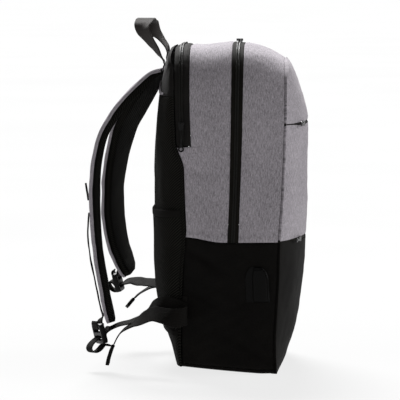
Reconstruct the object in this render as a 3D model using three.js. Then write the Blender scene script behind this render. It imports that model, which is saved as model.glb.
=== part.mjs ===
import * as THREE from 'three';

// A laptop backpack standing on its base. Sizes in millimetres.
// X runs across the bag, -Y is its front, +Y is the wearer's side, Z is up.

// Body
const bagHeight = 438;
const bagWidth = 290;
const bagDepth = 130;
const frontSwell = 36;
const backSwell = 46;
const shoulderHeight = 253;
const cornerPower = 4.6;
const sideCurve = 6;
const heelLift = 9;
const lineHeight = 175;
const lineRise = 6.5;
const rimHeight = 2;

// Cloth
const wall = 3;
const gap = 0.35;
const zipGap = 0.6;
const rimGap = 1;
const coverGap = 1.3;
const webbingLift = 0.6;
const padEdge = 3;
const padShare = 0.1;
const tapeThick = 1.4;
const coilWidth = 5;
const coilThick = 1.3;

// Front openings and back parts, as heights over the floor
const pocketZipHeight = 331;
const baseZipHeight = 176;
const frontTapeHeight = 4;
const yokeHeight = 371;
const sleeveTop = 214;
const sleeveFoot = 56;
const sleeveTopRise = 4;
const sleeveFootSag = 14;
const hemHeight = 10;
const sleeveStandOff = 1;
const sleeveThick = 2;

// Straps and webbing
const strapWidth = 58;
const strapPad = 8.5;
const coverThick = 1.8;
const coverWrap = 4.5;
const webbingWidth = 25;
const webbingThick = 1.6;
const buckleWidth = 36;
const buckleLength = 27;
const buckleThick = 4;
const handleThick = 1.8;
const sewnLift = 0.8;

// Body levels: at is a share of the height, front and rear are the side seams as shares of
// the depth, crown and pad are shares of the two swells, half is a share of half the width
const levels = [
  { at: 0.0, front: -0.468, rear: 0.467, crown: 0.2, pad: 0.2, half: 0.958 },
  { at: 0.012, front: -0.467, rear: 0.468, crown: 0.3, pad: 0.23, half: 0.966 },
  { at: 0.03, front: -0.466, rear: 0.47, crown: 0.42, pad: 0.275, half: 0.97 },
  { at: 0.06, front: -0.463, rear: 0.473, crown: 0.56, pad: 0.35, half: 0.974 },
  { at: 0.12, front: -0.461, rear: 0.472, crown: 0.8, pad: 0.55, half: 0.981 },
  { at: 0.215, front: -0.481, rear: 0.462, crown: 0.92, pad: 0.78, half: 0.988 },
  { at: 0.31, front: -0.497, rear: 0.451, crown: 0.985, pad: 0.905, half: 0.995 },
  { at: 0.4, front: -0.505, rear: 0.427, crown: 1.02, pad: 0.98, half: 1.0 },
  { at: 0.49, front: -0.527, rear: 0.436, crown: 0.99, pad: 0.99, half: 1.0 },
  { at: 0.585, front: -0.542, rear: 0.446, crown: 0.93, pad: 0.95, half: 0.998 },
  { at: 0.635, front: -0.549, rear: 0.456, crown: 0.91, pad: 0.92, half: 0.996 },
  { at: 0.69, front: -0.555, rear: 0.5215, crown: 0.9, pad: 0.73, half: 0.994 },
  { at: 0.76, front: -0.562, rear: 0.537, crown: 0.89, pad: 0.645, half: 0.991 },
  { at: 0.8, front: -0.566, rear: 0.543, crown: 0.86, pad: 0.59, half: 0.989 },
  { at: 0.87, front: -0.568, rear: 0.549, crown: 0.67, pad: 0.49, half: 0.984 },
  { at: 0.94, front: -0.567, rear: 0.555, crown: 0.41, pad: 0.32, half: 0.978 },
  { at: 0.975, front: -0.564, rear: 0.556, crown: 0.26, pad: 0.22, half: 0.975 },
  { at: 1.0, front: -0.56, rear: 0.556, crown: 0.08, pad: 0.1, half: 0.972 },
];

// Edges of the two zip strips: at is a share of the height, the rest are shares of the depth
const strips = [
  { at: 0.38, zipFront: -0.1, zipRear: 0.004, bandFront: 0.37 },
  { at: 0.53, zipFront: -0.116, zipRear: -0.015, bandFront: 0.375 },
  { at: 0.69, zipFront: -0.134, zipRear: -0.026, bandFront: 0.381 },
  { at: 0.8, zipFront: -0.141, zipRear: -0.031, bandFront: 0.396 },
  { at: 1.0, zipFront: -0.15, zipRear: -0.036, bandFront: 0.402 },
];

// Crest of the top, from the front seam to the rear seam: high is a share of the height
const crest = [
  { at: 0.0, high: 0.948 },
  { at: 0.14, high: 0.974 },
  { at: 0.28, high: 0.99 },
  { at: 0.4, high: 0.995 },
  { at: 0.48, high: 0.997 },
  { at: 0.6, high: 0.993 },
  { at: 0.74, high: 0.987 },
  { at: 0.84, high: 0.989 },
  { at: 0.9, high: 0.992 },
  { at: 1.0, high: 0.987 },
];

// Folds and dents of the side cloth: y and z are the middle, run and wide the half sizes,
// turn the angle of the run in degrees, deep how far the cloth falls in
const folds = [
  { y: 34, z: 155, run: 26, wide: 6, turn: 32, deep: 2.2 },
  { y: 42, z: 106, run: 24, wide: 6, turn: 25, deep: 1.8 },
  { y: -30, z: 33, run: 30, wide: 7, turn: 32, deep: 2.0 },
  { y: 42, z: 269, run: 20, wide: 5, turn: 4, deep: 1.4 },
  { y: -44, z: 253, run: 9, wide: 60, turn: 4, deep: 1.2 },
  { y: 20, z: 333, run: 12, wide: 70, turn: -3, deep: 1.0 },
];

// Shoulder straps, down the middle of the grey outer face: across is the width direction
const strapRoutes = {
  left: [
    { x: -55, y: 92.4, z: 401.6, across: [1, 0, 0], wide: 0.96, thick: 0.4 },
    { x: -55, y: 97, z: 400.8, across: [1, 0, 0], wide: 0.98, thick: 0.55 },
    { x: -55.5, y: 107.5, z: 397.6, across: [1, 0, 0], wide: 1, thick: 0.8 },
    { x: -60, y: 126, z: 382.6, across: [1, 0.02, 0], wide: 1, thick: 1 },
    { x: -68, y: 147.2, z: 360.7, across: [1, 0.03, 0], wide: 1, thick: 1 },
    { x: -75, y: 162.6, z: 340, across: [1, 0.04, 0], wide: 1, thick: 1 },
    { x: -80, y: 175.6, z: 315, across: [1, 0.04, 0], wide: 1, thick: 1 },
    { x: -85, y: 183.2, z: 283.5, across: [1, 0.04, 0], wide: 1, thick: 1 },
    { x: -88, y: 186, z: 254, across: [1, 0.04, 0], wide: 1, thick: 1 },
    { x: -90, y: 186.4, z: 227, across: [1, 0.04, 0], wide: 1, thick: 1 },
    { x: -92, y: 185, z: 195, across: [1, 0.05, 0], wide: 1, thick: 1 },
    { x: -94, y: 183, z: 169, across: [1, 0.06, 0], wide: 1, thick: 1 },
    { x: -97, y: 179.4, z: 143, across: [1, 0.06, 0], wide: 1, thick: 1 },
    { x: -100, y: 174.6, z: 117, across: [1, 0.06, 0], wide: 1, thick: 1 },
    { x: -103, y: 170.4, z: 93, across: [1, 0.06, 0], wide: 0.99, thick: 1 },
    { x: -105.5, y: 166.4, z: 77, across: [1, 0.05, 0], wide: 0.9, thick: 0.95 },
    { x: -106.5, y: 163.6, z: 68, across: [1, 0.04, 0], wide: 0.68, thick: 0.85 },
    { x: -107, y: 162, z: 63, across: [1, 0.04, 0], wide: 0.4, thick: 0.7 },
  ],
  right: [
    { x: 55, y: 92.4, z: 401.2, across: [1, 0, 0], wide: 0.96, thick: 0.4 },
    { x: 55, y: 97, z: 399.6, across: [1, -0.02, -0.01], wide: 0.98, thick: 0.55 },
    { x: 56, y: 107, z: 394, across: [1, -0.12, -0.06], wide: 1, thick: 0.8 },
    { x: 61, y: 120, z: 379, across: [0.97, -0.28, -0.05], wide: 1, thick: 1 },
    { x: 71, y: 132, z: 360, across: [0.93, -0.4, 0], wide: 1, thick: 1 },
    { x: 82, y: 144, z: 339.5, across: [0.91, -0.41, 0], wide: 1, thick: 1 },
    { x: 91, y: 154.3, z: 320, across: [0.92, -0.385, 0], wide: 1, thick: 1 },
    { x: 98, y: 161.6, z: 297, across: [0.93, -0.35, 0], wide: 1, thick: 1 },
    { x: 103, y: 168.8, z: 268, across: [0.94, -0.315, 0], wide: 1, thick: 1 },
    { x: 106, y: 173, z: 239, across: [0.94, -0.29, 0], wide: 1, thick: 1 },
    { x: 107, y: 173.8, z: 208, across: [0.94, -0.29, 0], wide: 1, thick: 1 },
    { x: 108, y: 172.8, z: 187, across: [0.94, -0.29, 0], wide: 1, thick: 1 },
    { x: 110, y: 169.9, z: 165, across: [0.94, -0.28, 0], wide: 1, thick: 1 },
    { x: 112, y: 165.4, z: 145, across: [0.94, -0.27, 0], wide: 0.99, thick: 1 },
    { x: 114.5, y: 159, z: 127, across: [0.94, -0.27, 0], wide: 0.92, thick: 1 },
    { x: 116.5, y: 153.4, z: 113.5, across: [0.94, -0.27, 0], wide: 0.76, thick: 0.95 },
    { x: 117.5, y: 150.6, z: 107, across: [0.94, -0.27, 0], wide: 0.5, thick: 0.8 },
  ],
};

// Ladder buckles: the middle of the plate, the way its long side points and its width
const buckles = {
  left: { x: -108, y: 172, z: 50, up: [0, 0.24, 0.97], across: [0.92, 0.38, 0] },
  right: { x: 118, y: 161.5, z: 96, up: [0, 0.25, 0.97], across: [0.99, -0.12, 0] },
};

// Upper webbing round the top bar of its buckle: out of the plate and up it
const stubLoop = [
  { out: -4.6, rise: 14.5 },
  { out: -3.6, rise: 9.4 },
  { out: -1, rise: 6.6 },
  { out: 2.6, rise: 6.9 },
  { out: 3.6, rise: 10.8 },
  { out: 3.6, rise: 15 },
  { out: 2, rise: 17.6 },
];

// Slack of the lower webbing below the buckle, from its end to the lower slot
const slackLoops = {
  left: [
    { out: -9, rise: -19.6 },
    { out: -6.5, rise: -17.6 },
    { out: -3.6, rise: -15.6 },
    { out: 0, rise: -16.2 },
    { out: 4, rise: -19 },
    { out: 9, rise: -21.6 },
    { out: 14.5, rise: -22 },
    { out: 18.6, rise: -19.2 },
    { out: 19, rise: -14.8 },
    { out: 16, rise: -10.8 },
    { out: 11.5, rise: -7.8 },
    { out: 5.5, rise: -5.2 },
    { out: 0, rise: -4.1 },
    { out: -6, rise: -3.6 },
  ],
  right: [
    { out: 3.6, rise: -12.4 },
    { out: 6.8, rise: -11.6 },
    { out: 10.6, rise: -8.6 },
    { out: 13.2, rise: -3.6 },
    { out: 12.4, rise: 2 },
    { out: 9, rise: 3.6 },
    { out: 5.4, rise: -0.6 },
    { out: 3, rise: -4.4 },
    { out: -2.6, rise: -4.2 },
  ],
};

// Lower webbing from its buckle to the bag, round its turn and out along the free tail
const lowerRoutes = {
  left: [
    { x: -109, y: 162, z: 53.5, across: [1, 0.2, 0] },
    { x: -112, y: 155, z: 58.5, across: [1, 0.08, 0.05] },
    { x: -118, y: 144, z: 63.8, across: [1, 0, 0.08] },
    { x: -124, y: 130.5, z: 68, across: [1, 0, 0.1] },
    { x: -129, y: 117, z: 74, across: [1, 0, 0.15] },
    { x: -133, y: 106, z: 82.5, across: [0.97, 0, 0.25] },
    { x: -136, y: 98, z: 91, across: [0.87, 0, 0.5] },
    { x: -139.5, y: 87, z: 92.5, across: [0.5, 0, 0.85] },
    { x: -141.2, y: 76, z: 90, across: [0.1, 0, 1] },
    { x: -140.9, y: 68, z: 87.5, across: [0, 0, 1] },
    { x: -140.7, y: 61, z: 85, across: [0, 0, 1] },
    { x: -143.6, y: 56, z: 83, across: [0, 0, 1] },
    { x: -150, y: 54.2, z: 81, across: [0, 0, 1] },
    { x: -156, y: 55, z: 79.5, across: [0, 0, 1] },
    { x: -161, y: 60, z: 78.5, across: [0, 0, 1] },
    { x: -163, y: 70, z: 77.5, across: [0.2, 0, 1] },
    { x: -161, y: 84, z: 80, across: [0.66, 0, 0.7] },
    { x: -156, y: 97, z: 82, across: [0.72, 0, 0.62] },
    { x: -149, y: 112, z: 76, across: [0.8, 0, 0.55] },
    { x: -143, y: 121, z: 70.5, across: [0.93, 0, 0.3] },
    { x: -137.5, y: 133, z: 62.5, across: [1, 0, 0.08] },
    { x: -134.5, y: 141, z: 56, across: [1, 0, 0] },
    { x: -132, y: 147.5, z: 47, across: [1, 0, 0] },
    { x: -130.8, y: 152, z: 37.5, across: [1, 0, 0] },
  ],
  right: [
    { x: 118.2, y: 152.4, z: 93.6, across: [1, -0.08, 0.05] },
    { x: 121, y: 146, z: 95.2, across: [0.97, -0.02, 0.22] },
    { x: 125, y: 138, z: 95.6, across: [0.93, 0, 0.34] },
    { x: 128, y: 130, z: 95.4, across: [0.93, 0, 0.36] },
    { x: 131.5, y: 117, z: 93.5, across: [0.93, 0, 0.36] },
    { x: 135, y: 101, z: 91.5, across: [0.85, 0, 0.5] },
    { x: 139.5, y: 88, z: 90, across: [0.5, 0, 0.85] },
    { x: 141.2, y: 76, z: 88, across: [0.1, 0, 1] },
    { x: 140.9, y: 68, z: 86.5, across: [0, 0, 1] },
    { x: 140.7, y: 61, z: 85, across: [0, 0, 1] },
    { x: 143.6, y: 56, z: 83, across: [0, 0, 1] },
    { x: 150, y: 54.2, z: 81.5, across: [0, 0, 1] },
    { x: 156, y: 55.5, z: 80.5, across: [0, 0, 1] },
    { x: 160, y: 60, z: 80, across: [0, 0, 1] },
    { x: 161, y: 74, z: 80.5, across: [-0.25, 0, 1] },
    { x: 157, y: 87, z: 83.5, across: [-0.8, 0, 0.55] },
    { x: 151, y: 100, z: 86.5, across: [-0.97, 0, 0.2] },
    { x: 144, y: 112, z: 86.5, across: [-1, 0, 0] },
    { x: 138, y: 123, z: 82.8, across: [-1, 0, 0] },
    { x: 133, y: 133, z: 77, across: [-1, 0, 0] },
    { x: 129, y: 140.5, z: 70.5, across: [-1, 0, 0] },
  ],
};

// Sewn ends of the free tails
const tailRoutes = {
  left: [
    { x: -130.6, y: 153.2, z: 35.2, across: [1, 0, 0] },
    { x: -130, y: 155.8, z: 28.5, across: [1, 0, 0] },
    { x: -129.6, y: 158.6, z: 20, across: [1, 0, 0] },
    { x: -129.4, y: 160, z: 12, across: [1, 0, 0] },
  ],
  right: [
    { x: 128.6, y: 141.4, z: 69.6, across: [1, 0, 0] },
    { x: 127, y: 144.8, z: 65.5, across: [1, 0, 0] },
    { x: 125, y: 149.2, z: 60, across: [1, 0, 0] },
  ],
};

// Grab handle: one length of webbing, sewn flat on the yoke at both ends, turned over at the top
const handleRoute = [
  { x: -38, sewn: true, z: 404, across: [1, 0, 0] },
  { x: -38.5, sewn: true, z: 408, across: [1, 0, 0] },
  { x: -39, y: 90, z: 412, across: [1, 0, 0] },
  { x: -41, y: 94.4, z: 418, across: [0.97, 0.2, 0] },
  { x: -45, y: 102, z: 430.5, across: [0.9, 0.4, -0.1] },
  { x: -48, y: 110.5, z: 442.5, across: [0.82, 0.52, -0.2] },
  { x: -47, y: 116, z: 452, across: [0.7, 0.66, -0.2] },
  { x: -40, y: 117.5, z: 460.5, across: [0.45, 0.88, 0] },
  { x: -24, y: 116.5, z: 466, across: [0.15, 0.98, 0] },
  { x: -2, y: 115, z: 468, across: [0, 1, 0] },
  { x: 20, y: 114.5, z: 466.5, across: [-0.1, 0.99, 0] },
  { x: 36, y: 111.6, z: 459.5, across: [-0.38, 0.9, 0] },
  { x: 43, y: 104.4, z: 449.5, across: [-0.7, 0.66, 0.1] },
  { x: 44, y: 96, z: 439, across: [-0.88, 0.4, 0.1] },
  { x: 43, y: 89.6, z: 429.5, across: [-0.96, 0.22, 0] },
  { x: 41, y: 87.8, z: 420, across: [-1, 0.06, 0] },
  { x: 39, y: 88.8, z: 412.5, across: [-1, 0, 0] },
  { x: 38.5, sewn: true, z: 408, across: [-1, 0, 0] },
  { x: 38, sewn: true, z: 404, across: [-1, 0, 0] },
];

const black = { color: 0x171616, roughness: 0.85, metalness: 0 };
const mesh = { color: 0x101010, roughness: 0.95, metalness: 0 };
const grey = { color: 0x86828a, roughness: 0.9, metalness: 0 };
const webbing = { color: 0x2a2827, roughness: 0.8, metalness: 0 };
const plastic = { color: 0x151515, roughness: 0.45, metalness: 0 };
const metal = { color: 0x26262a, roughness: 0.35, metalness: 0.9 };

const lerp = THREE.MathUtils.lerp;
const clamp = THREE.MathUtils.clamp;
const vec = (x, y, z) => new THREE.Vector3(x, y, z);

// Smooth reading of one column of a table
function read(rows, key, at) {
  const last = rows.length - 1;
  let i = 0;
  while (i < last - 1 && at > rows[i + 1].at) {
    i += 1;
  }
  const slope = (k) => {
    const a = rows[Math.max(k - 1, 0)];
    const b = rows[Math.min(k + 1, last)];
    return (b[key] - a[key]) / (b.at - a.at);
  };
  const span = rows[i + 1].at - rows[i].at;
  const f = clamp((at - rows[i].at) / span, 0, 1);
  const f2 = f * f;
  const f3 = f2 * f;
  return (2 * f3 - 3 * f2 + 1) * rows[i][key] + (3 * f2 - 2 * f3) * rows[i + 1][key]
    + (f3 - 2 * f2 + f) * span * slope(i) + (f3 - f2) * span * slope(i + 1);
}

// Height share of a point from its place up the outline, -1 at the floor and 1 at the top
function levelOf(v) {
  const height = v >= 0
    ? shoulderHeight + (bagHeight - shoulderHeight) * v
    : shoulderHeight * (1 + v);
  return height / bagHeight;
}

// Place up the outline for a height over the floor
function upTo(height, top) {
  return height >= shoulderHeight
    ? (height - shoulderHeight) / (top - shoulderHeight)
    : height / shoulderHeight - 1;
}

// Squares off the outline with rounded top corners
function squircle(u, v) {
  const m = Math.max(Math.abs(u), Math.abs(v), 1e-6);
  const pv = v / m;
  if (pv <= 0) {
    return [u, v];
  }
  const round = (Math.abs(u / m) ** cornerPower + pv ** cornerPower) ** (-1 / cornerPower);
  const f = 1 + (round - 1) * m ** 3;
  return [u * f, v * f];
}

// Depth of all folds at one place on the side
function foldDepth(y, z) {
  let depth = 0;
  for (const fold of folds) {
    const turn = THREE.MathUtils.degToRad(fold.turn);
    const dy = y - fold.y;
    const dz = z - fold.z;
    const along = (dy * Math.cos(turn) + dz * Math.sin(turn)) / fold.run;
    const over = (dz * Math.cos(turn) - dy * Math.sin(turn)) / fold.wide;
    depth += fold.deep * Math.exp(-along * along - over * over);
  }
  return depth;
}

// How far the underside rises towards its rear corners
function liftAt(u, t, at) {
  const side = THREE.MathUtils.smoothstep(Math.abs(u), 0.35, 1);
  const back = Math.max(0, (t - 0.15) / 0.85);
  const low = Math.max(0, 1 - (at * bagHeight) / lineHeight);
  return heelLift * side * back * low;
}

const seamFront = (at) => read(levels, 'front', at) * bagDepth;
const seamRear = (at) => read(levels, 'rear', at) * bagDepth;

// A point of the sides and top, given its place on the outline and its depth
function skin(u, v, y) {
  const at = levelOf(v);
  const t = clamp((y - seamFront(at)) / (seamRear(at) - seamFront(at)), 0, 1);
  const top = read(crest, 'high', t) * bagHeight;
  const z = v >= 0
    ? shoulderHeight + (top - shoulderHeight) * v
    : at * bagHeight + liftAt(u, t, at);
  const half = bagWidth / 2 * read(levels, 'half', at) - sideCurve * (2 * t - 1) ** 2;
  const dent = Math.abs(u) > 0.6 ? foldDepth(y, z) : 0;
  return vec(u * (half - dent), y, z);
}

// Height of the line between the grey and the black cloth
function lineAt(y) {
  return lineHeight + lineRise * THREE.MathUtils.smoothstep(y, 8, 56);
}

// Builds one closed body from two matching grids of points
function closed(outer, inner) {
  const rows = outer.length;
  const cols = outer[0].length;
  const points = [...outer.flat(), ...inner.flat()];
  const far = rows * cols;
  const index = [];
  const quad = (a, b, c, d) => index.push(a, b, c, a, c, d);
  for (let i = 0; i < rows - 1; i += 1) {
    for (let j = 0; j < cols - 1; j += 1) {
      const k = i * cols + j;
      quad(k, k + 1, k + cols + 1, k + cols);
      quad(far + k, far + k + cols, far + k + cols + 1, far + k + 1);
    }
  }
  for (let i = 0; i < rows - 1; i += 1) {
    const a = i * cols;
    const b = a + cols - 1;
    quad(a, a + cols, far + a + cols, far + a);
    quad(b, far + b, far + b + cols, b + cols);
  }
  for (let j = 0; j < cols - 1; j += 1) {
    const a = j;
    const b = (rows - 1) * cols + j;
    quad(a, far + a, far + a + 1, a + 1);
    quad(b, b + 1, far + b + 1, far + b);
  }
  return solid(points, index);
}

// A geometry whose faces point outwards
function solid(points, index) {
  let volume = 0;
  for (let i = 0; i < index.length; i += 3) {
    const [a, b, c] = [points[index[i]], points[index[i + 1]], points[index[i + 2]]];
    volume += a.dot(vec(0, 0, 0).crossVectors(b, c));
  }
  if (volume < 0) {
    for (let i = 0; i < index.length; i += 3) {
      [index[i + 1], index[i + 2]] = [index[i + 2], index[i + 1]];
    }
  }
  const geometry = new THREE.BufferGeometry();
  const flat = points.flatMap((p) => [p.x, p.y, p.z]);
  geometry.setAttribute('position', new THREE.Float32BufferAttribute(flat, 3));
  geometry.setIndex(index);
  geometry.computeVertexNormals();
  return geometry;
}

// Moves a grid of points along its own normals, away from the middle of the bag
function offset(grid, amount) {
  const rows = grid.length;
  const cols = grid[0].length;
  return grid.map((row, i) => row.map((p, j) => {
    const down = grid[Math.min(i + 1, rows - 1)][j].clone()
      .sub(grid[Math.max(i - 1, 0)][j]);
    const over = grid[i][Math.min(j + 1, cols - 1)].clone()
      .sub(grid[i][Math.max(j - 1, 0)]);
    const normal = down.cross(over).normalize();
    const away = p.clone().sub(vec(0, p.y * 0.4, Math.min(p.z, 210)));
    if (normal.dot(away) < 0) {
      normal.negate();
    }
    return p.clone().addScaledVector(normal, amount);
  }));
}

// A sheet of cloth: the grid is its reference face, moved out by raise, thick inwards
function cloth(grid, raise, thick) {
  const outer = raise === 0 ? grid : offset(grid, raise);
  return closed(outer, offset(grid, raise - thick));
}

// Places on the outline from the left foot over the top to the right foot
function outline(climb) {
  const crossing = [-0.95, -0.88, -0.78, -0.64, -0.45, -0.22, 0, 0.22, 0.45, 0.64, 0.78, 0.88, 0.95];
  return [
    ...climb.map((v) => [-1, v]),
    ...crossing.map((u) => [u, 1]),
    ...climb.slice().reverse().map((v) => [1, v]),
  ];
}

// A strip that runs over the bag between two depths
function hoop(climb, front, rear, across) {
  return outline(climb).map(([u, v]) => {
    const [su, sv] = squircle(u, v);
    return Array.from({ length: across + 1 }, (unused, j) => {
      const at = levelOf(sv);
      const y = lerp(front(at), rear(at), j / across);
      const foot = upTo(lineAt(y) + gap, bagHeight);
      return skin(su, Math.max(sv, foot), y);
    });
  });
}

const fullClimb = [-0.34, -0.2, -0.05, 0.1, 0.262, 0.268, 0.4, 0.55, 0.68, 0.79, 0.88, 0.95, 1];
const bandClimb = [0.2715, 0.4, 0.55, 0.68, 0.79, 0.88, 0.95, 1];
const stripEdge = (key) => (at) => read(strips, key, clamp(at, 0.38, 1)) * bagDepth;

function frontGusset() {
  const rear = (at) => stripEdge('zipFront')(at) - zipGap;
  return cloth(hoop(fullClimb, seamFront, rear, 3), 0, wall);
}

function rearGusset() {
  const front = (at) => stripEdge('zipRear')(at) + zipGap;
  const step = levelOf(0.265);
  const rear = (at) => (at < step ? seamRear(at) : stripEdge('bandFront')(at) - zipGap);
  return cloth(hoop(fullClimb, front, rear, 4), 0, wall);
}

function mainZipTape() {
  return cloth(hoop(fullClimb, stripEdge('zipFront'), stripEdge('zipRear'), 1), -0.5, tapeThick);
}

// A raised row of teeth down the middle of a strip
function coil(climb, middle, raise) {
  const front = (at) => middle(at) - coilWidth / 2;
  const rear = (at) => middle(at) + coilWidth / 2;
  return cloth(hoop(climb, front, rear, 1), raise + gap + coilThick, coilThick);
}

function mainZipCoil() {
  const middle = (at) => (stripEdge('zipFront')(at) + stripEdge('zipRear')(at)) / 2;
  return coil(fullClimb, middle, -0.5);
}

function laptopZipBand() {
  return cloth(hoop(bandClimb, stripEdge('bandFront'), seamRear, 2), -0.3, wall);
}

function laptopZipCoil() {
  const middle = (at) => lerp(stripEdge('bandFront')(at), seamRear(at), 0.55);
  return coil(bandClimb, middle, 0);
}

const panelColumns = [-1, -0.93, -0.82, -0.66, -0.46, -0.23, 0, 0.23, 0.46, 0.66, 0.82, 0.93, 1];

// A point of the front cloth, in or out by raise
function frontPoint(u, v, raise) {
  const [su, sv] = squircle(u, v);
  const at = levelOf(sv);
  const edge = skin(su, sv, seamFront(at));
  const crown = Math.max(0, frontSwell * read(levels, 'crown', at) - wall - gap);
  edge.y -= gap + raise + crown * (1 - Math.abs(u) ** 2.5);
  return edge;
}

// A panel of the front between two heights over the floor
function frontPanel(foot, head, rows, raise, thick, bunch = 1) {
  const top = crest[0].high * bagHeight;
  const from = upTo(foot, top);
  const to = upTo(head, top);
  const place = (lift) => Array.from({ length: rows + 1 }, (unused, i) => panelColumns.map(
    (u) => frontPoint(u, Math.min(lerp(from, to, (i / rows) ** bunch), 1), lift),
  ));
  return closed(place(raise), place(raise - thick));
}

function frontPieces() {
  const top = crest[0].high * bagHeight;
  const half = frontTapeHeight / 2;
  return {
    front_panel_upper: frontPanel(pocketZipHeight + half + gap, top, 7, wall, wall),
    front_pocket_panel: frontPanel(
      baseZipHeight + half + gap, pocketZipHeight - half - gap, 7, wall, wall,
    ),
    front_base_panel: frontPanel(0, baseZipHeight - half - gap, 8, wall, wall, 1.7),
    pocket_zip_tape: frontPanel(
      pocketZipHeight - half, pocketZipHeight + half, 1, wall - 0.5, tapeThick,
    ),
    base_zip_tape: frontPanel(
      baseZipHeight - half, baseZipHeight + half, 1, wall - 0.5, tapeThick,
    ),
  };
}

// The black cloth of one side, from the base seam up to the grey line
function sidePanel(side) {
  const rows = 9;
  const cols = 9;
  const grid = Array.from({ length: rows + 1 }, (unused, i) => Array.from(
    { length: cols + 1 },
    (unusedToo, j) => {
      const share = j / cols;
      const foot = upTo(rimHeight + wall + gap, bagHeight);
      const rise = (i / rows) ** 1.5;
      const guess = lerp(foot, -0.31, rise);
      const at = levelOf(guess);
      const y = lerp(seamFront(at), seamRear(at), share);
      const head = upTo(lineAt(y) - gap, bagHeight);
      return skin(side, lerp(foot, head, rise), y);
    },
  ));
  return cloth(grid, 0, wall);
}

// The flat underside, turned up a little at both sides
function basePanel() {
  const columns = [-1, -0.98, -0.96, -0.94, -0.72, -0.4, 0, 0.4, 0.72, 0.94, 0.96, 0.98, 1];
  const rows = 6;
  const place = (raise) => Array.from({ length: rows + 1 }, (unused, i) => columns.map((u) => {
    const turnUp = Math.max(0, (Math.abs(u) - 0.94) / 0.06);
    const at = rimHeight * turnUp ** 2 / bagHeight;
    const swell = 1 - Math.abs(u) ** 2.5;
    const crown = frontSwell * levels[0].crown - wall - gap;
    const front = seamFront(at) - crown * swell + gap;
    const rear = seamRear(at) + padProfile(u) * backRise(0) * (1 - padShare) + rimGap - gap;
    const y = lerp(front, rear, i / rows);
    const point = skin(u, -1 + at * bagHeight / shoulderHeight, y);
    point.z += raise;
    return point;
  }));
  return closed(place(0), place(wall));
}

const backColumns = [-1, -0.985, -0.95, -0.88, -0.77, -0.6, -0.4, -0.2, 0];
const padClimb = [
  -1, -0.985, -0.95, -0.89, -0.78, -0.64, -0.5, -0.34, -0.2, -0.05, 0.1, 0.2, 0.262, 0.2715, 0.4, 0.55,
];
const backRow = [...backColumns, ...backColumns.slice(0, -1).reverse().map((u) => -u)];

// How far the padding stands off its own edge
function backRise(at) {
  return backSwell * read(levels, 'pad', at) - padEdge - rimGap;
}

function padProfile(u) {
  return (1 - Math.min(Math.abs(u), 1) ** 3) ** 0.6;
}

// A point of the padded back, share 1 on its outer face and less towards its inner face
function backPoint(u, v, share, edge) {
  const [su, sv] = squircle(u, v);
  const at = levelOf(sv);
  const point = skin(su, sv, seamRear(at));
  point.y += rimGap + edge + backRise(at) * padProfile(u) * share;
  return point;
}

function backPiece(climb) {
  const place = (share, edge) => climb.map(
    (v) => backRow.map((u) => backPoint(u, v, share, edge)),
  );
  return closed(place(1, padEdge), place(1 - padShare, 0));
}

// A piece of cloth that lies on the padded back
function onBack(us, foot, head, rows, raise, thick) {
  const top = crest[crest.length - 1].high * bagHeight;
  const grid = Array.from({ length: rows + 1 }, (unused, i) => us.map((u) => {
    const height = lerp(foot(u), head(u), i / rows);
    return backPoint(u, upTo(height, top), 1, padEdge);
  }));
  return cloth(grid, raise, thick);
}

function backPieces() {
  const top = crest[crest.length - 1].high * bagHeight;
  const seam = upTo(yokeHeight, top);
  const sleeveColumns = backRow.filter((u) => Math.abs(u) < 0.99);
  const head = (u) => sleeveTop + sleeveTopRise * u * u;
  const foot = (u) => sleeveFoot - sleeveFootSag * u * u;
  return {
    back_yoke: backPiece([seam + gap / bagHeight, ...bandClimb.slice(3)]),
    back_pad: backPiece([...padClimb, seam - gap / bagHeight]),
    trolley_sleeve: onBack(
      sleeveColumns, (u) => foot(u) + hemHeight + gap, (u) => head(u) - hemHeight - gap,
      6, sleeveStandOff + sleeveThick, sleeveThick,
    ),
    sleeve_top_hem: onBack(
      sleeveColumns, (u) => head(u) - hemHeight, head,
      2, sleeveStandOff + sleeveThick + 0.6, sleeveThick + 0.4,
    ),
    sleeve_bottom_hem: onBack(
      sleeveColumns, foot, (u) => foot(u) + hemHeight,
      2, sleeveStandOff + sleeveThick + 0.3, sleeveThick,
    ),
    strap_root_left: rootPatch(-1),
    strap_root_right: rootPatch(1),
  };
}

// Grey cloth that closes the corner under a strap root
function rootPatch(side) {
  const us = [0.36, 0.46, 0.56, 0.66, 0.76, 0.85].map((u) => u * side);
  const foot = () => yokeHeight + 2;
  const head = (u) => lerp(386, yokeHeight + 5, (Math.abs(u) - 0.36) / 0.49);
  return onBack(us, foot, head, 2, gap + 1.5, 1.5);
}

// Rubber cover of the charging port on the left side
function usbCover() {
  const rows = 7;
  const cols = 6;
  const grid = Array.from({ length: rows + 1 }, (unused, i) => Array.from(
    { length: cols + 1 },
    (unusedToo, j) => {
      const rise = i / rows;
      const across = 2 * j / cols - 1;
      const wide = 15.5 * (rise < 0.6 ? 1 : Math.sqrt(1 - ((rise - 0.6) / 0.45) ** 2));
      const y = -39.5 + wide * across + 2 * rise;
      return skin(-1, upTo(lerp(96, 143, rise), bagHeight), y);
    },
  ));
  const lid = offset(grid, 2.4);
  const outer = lid.map((row, i) => row.map((p, j) => {
    const puff = Math.sin(Math.PI * j / cols) * (1 - i / rows) * 2.2;
    return p.clone().add(vec(-puff, 0, 0));
  }));
  return closed(outer, offset(grid, gap + 0.3));
}

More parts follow.
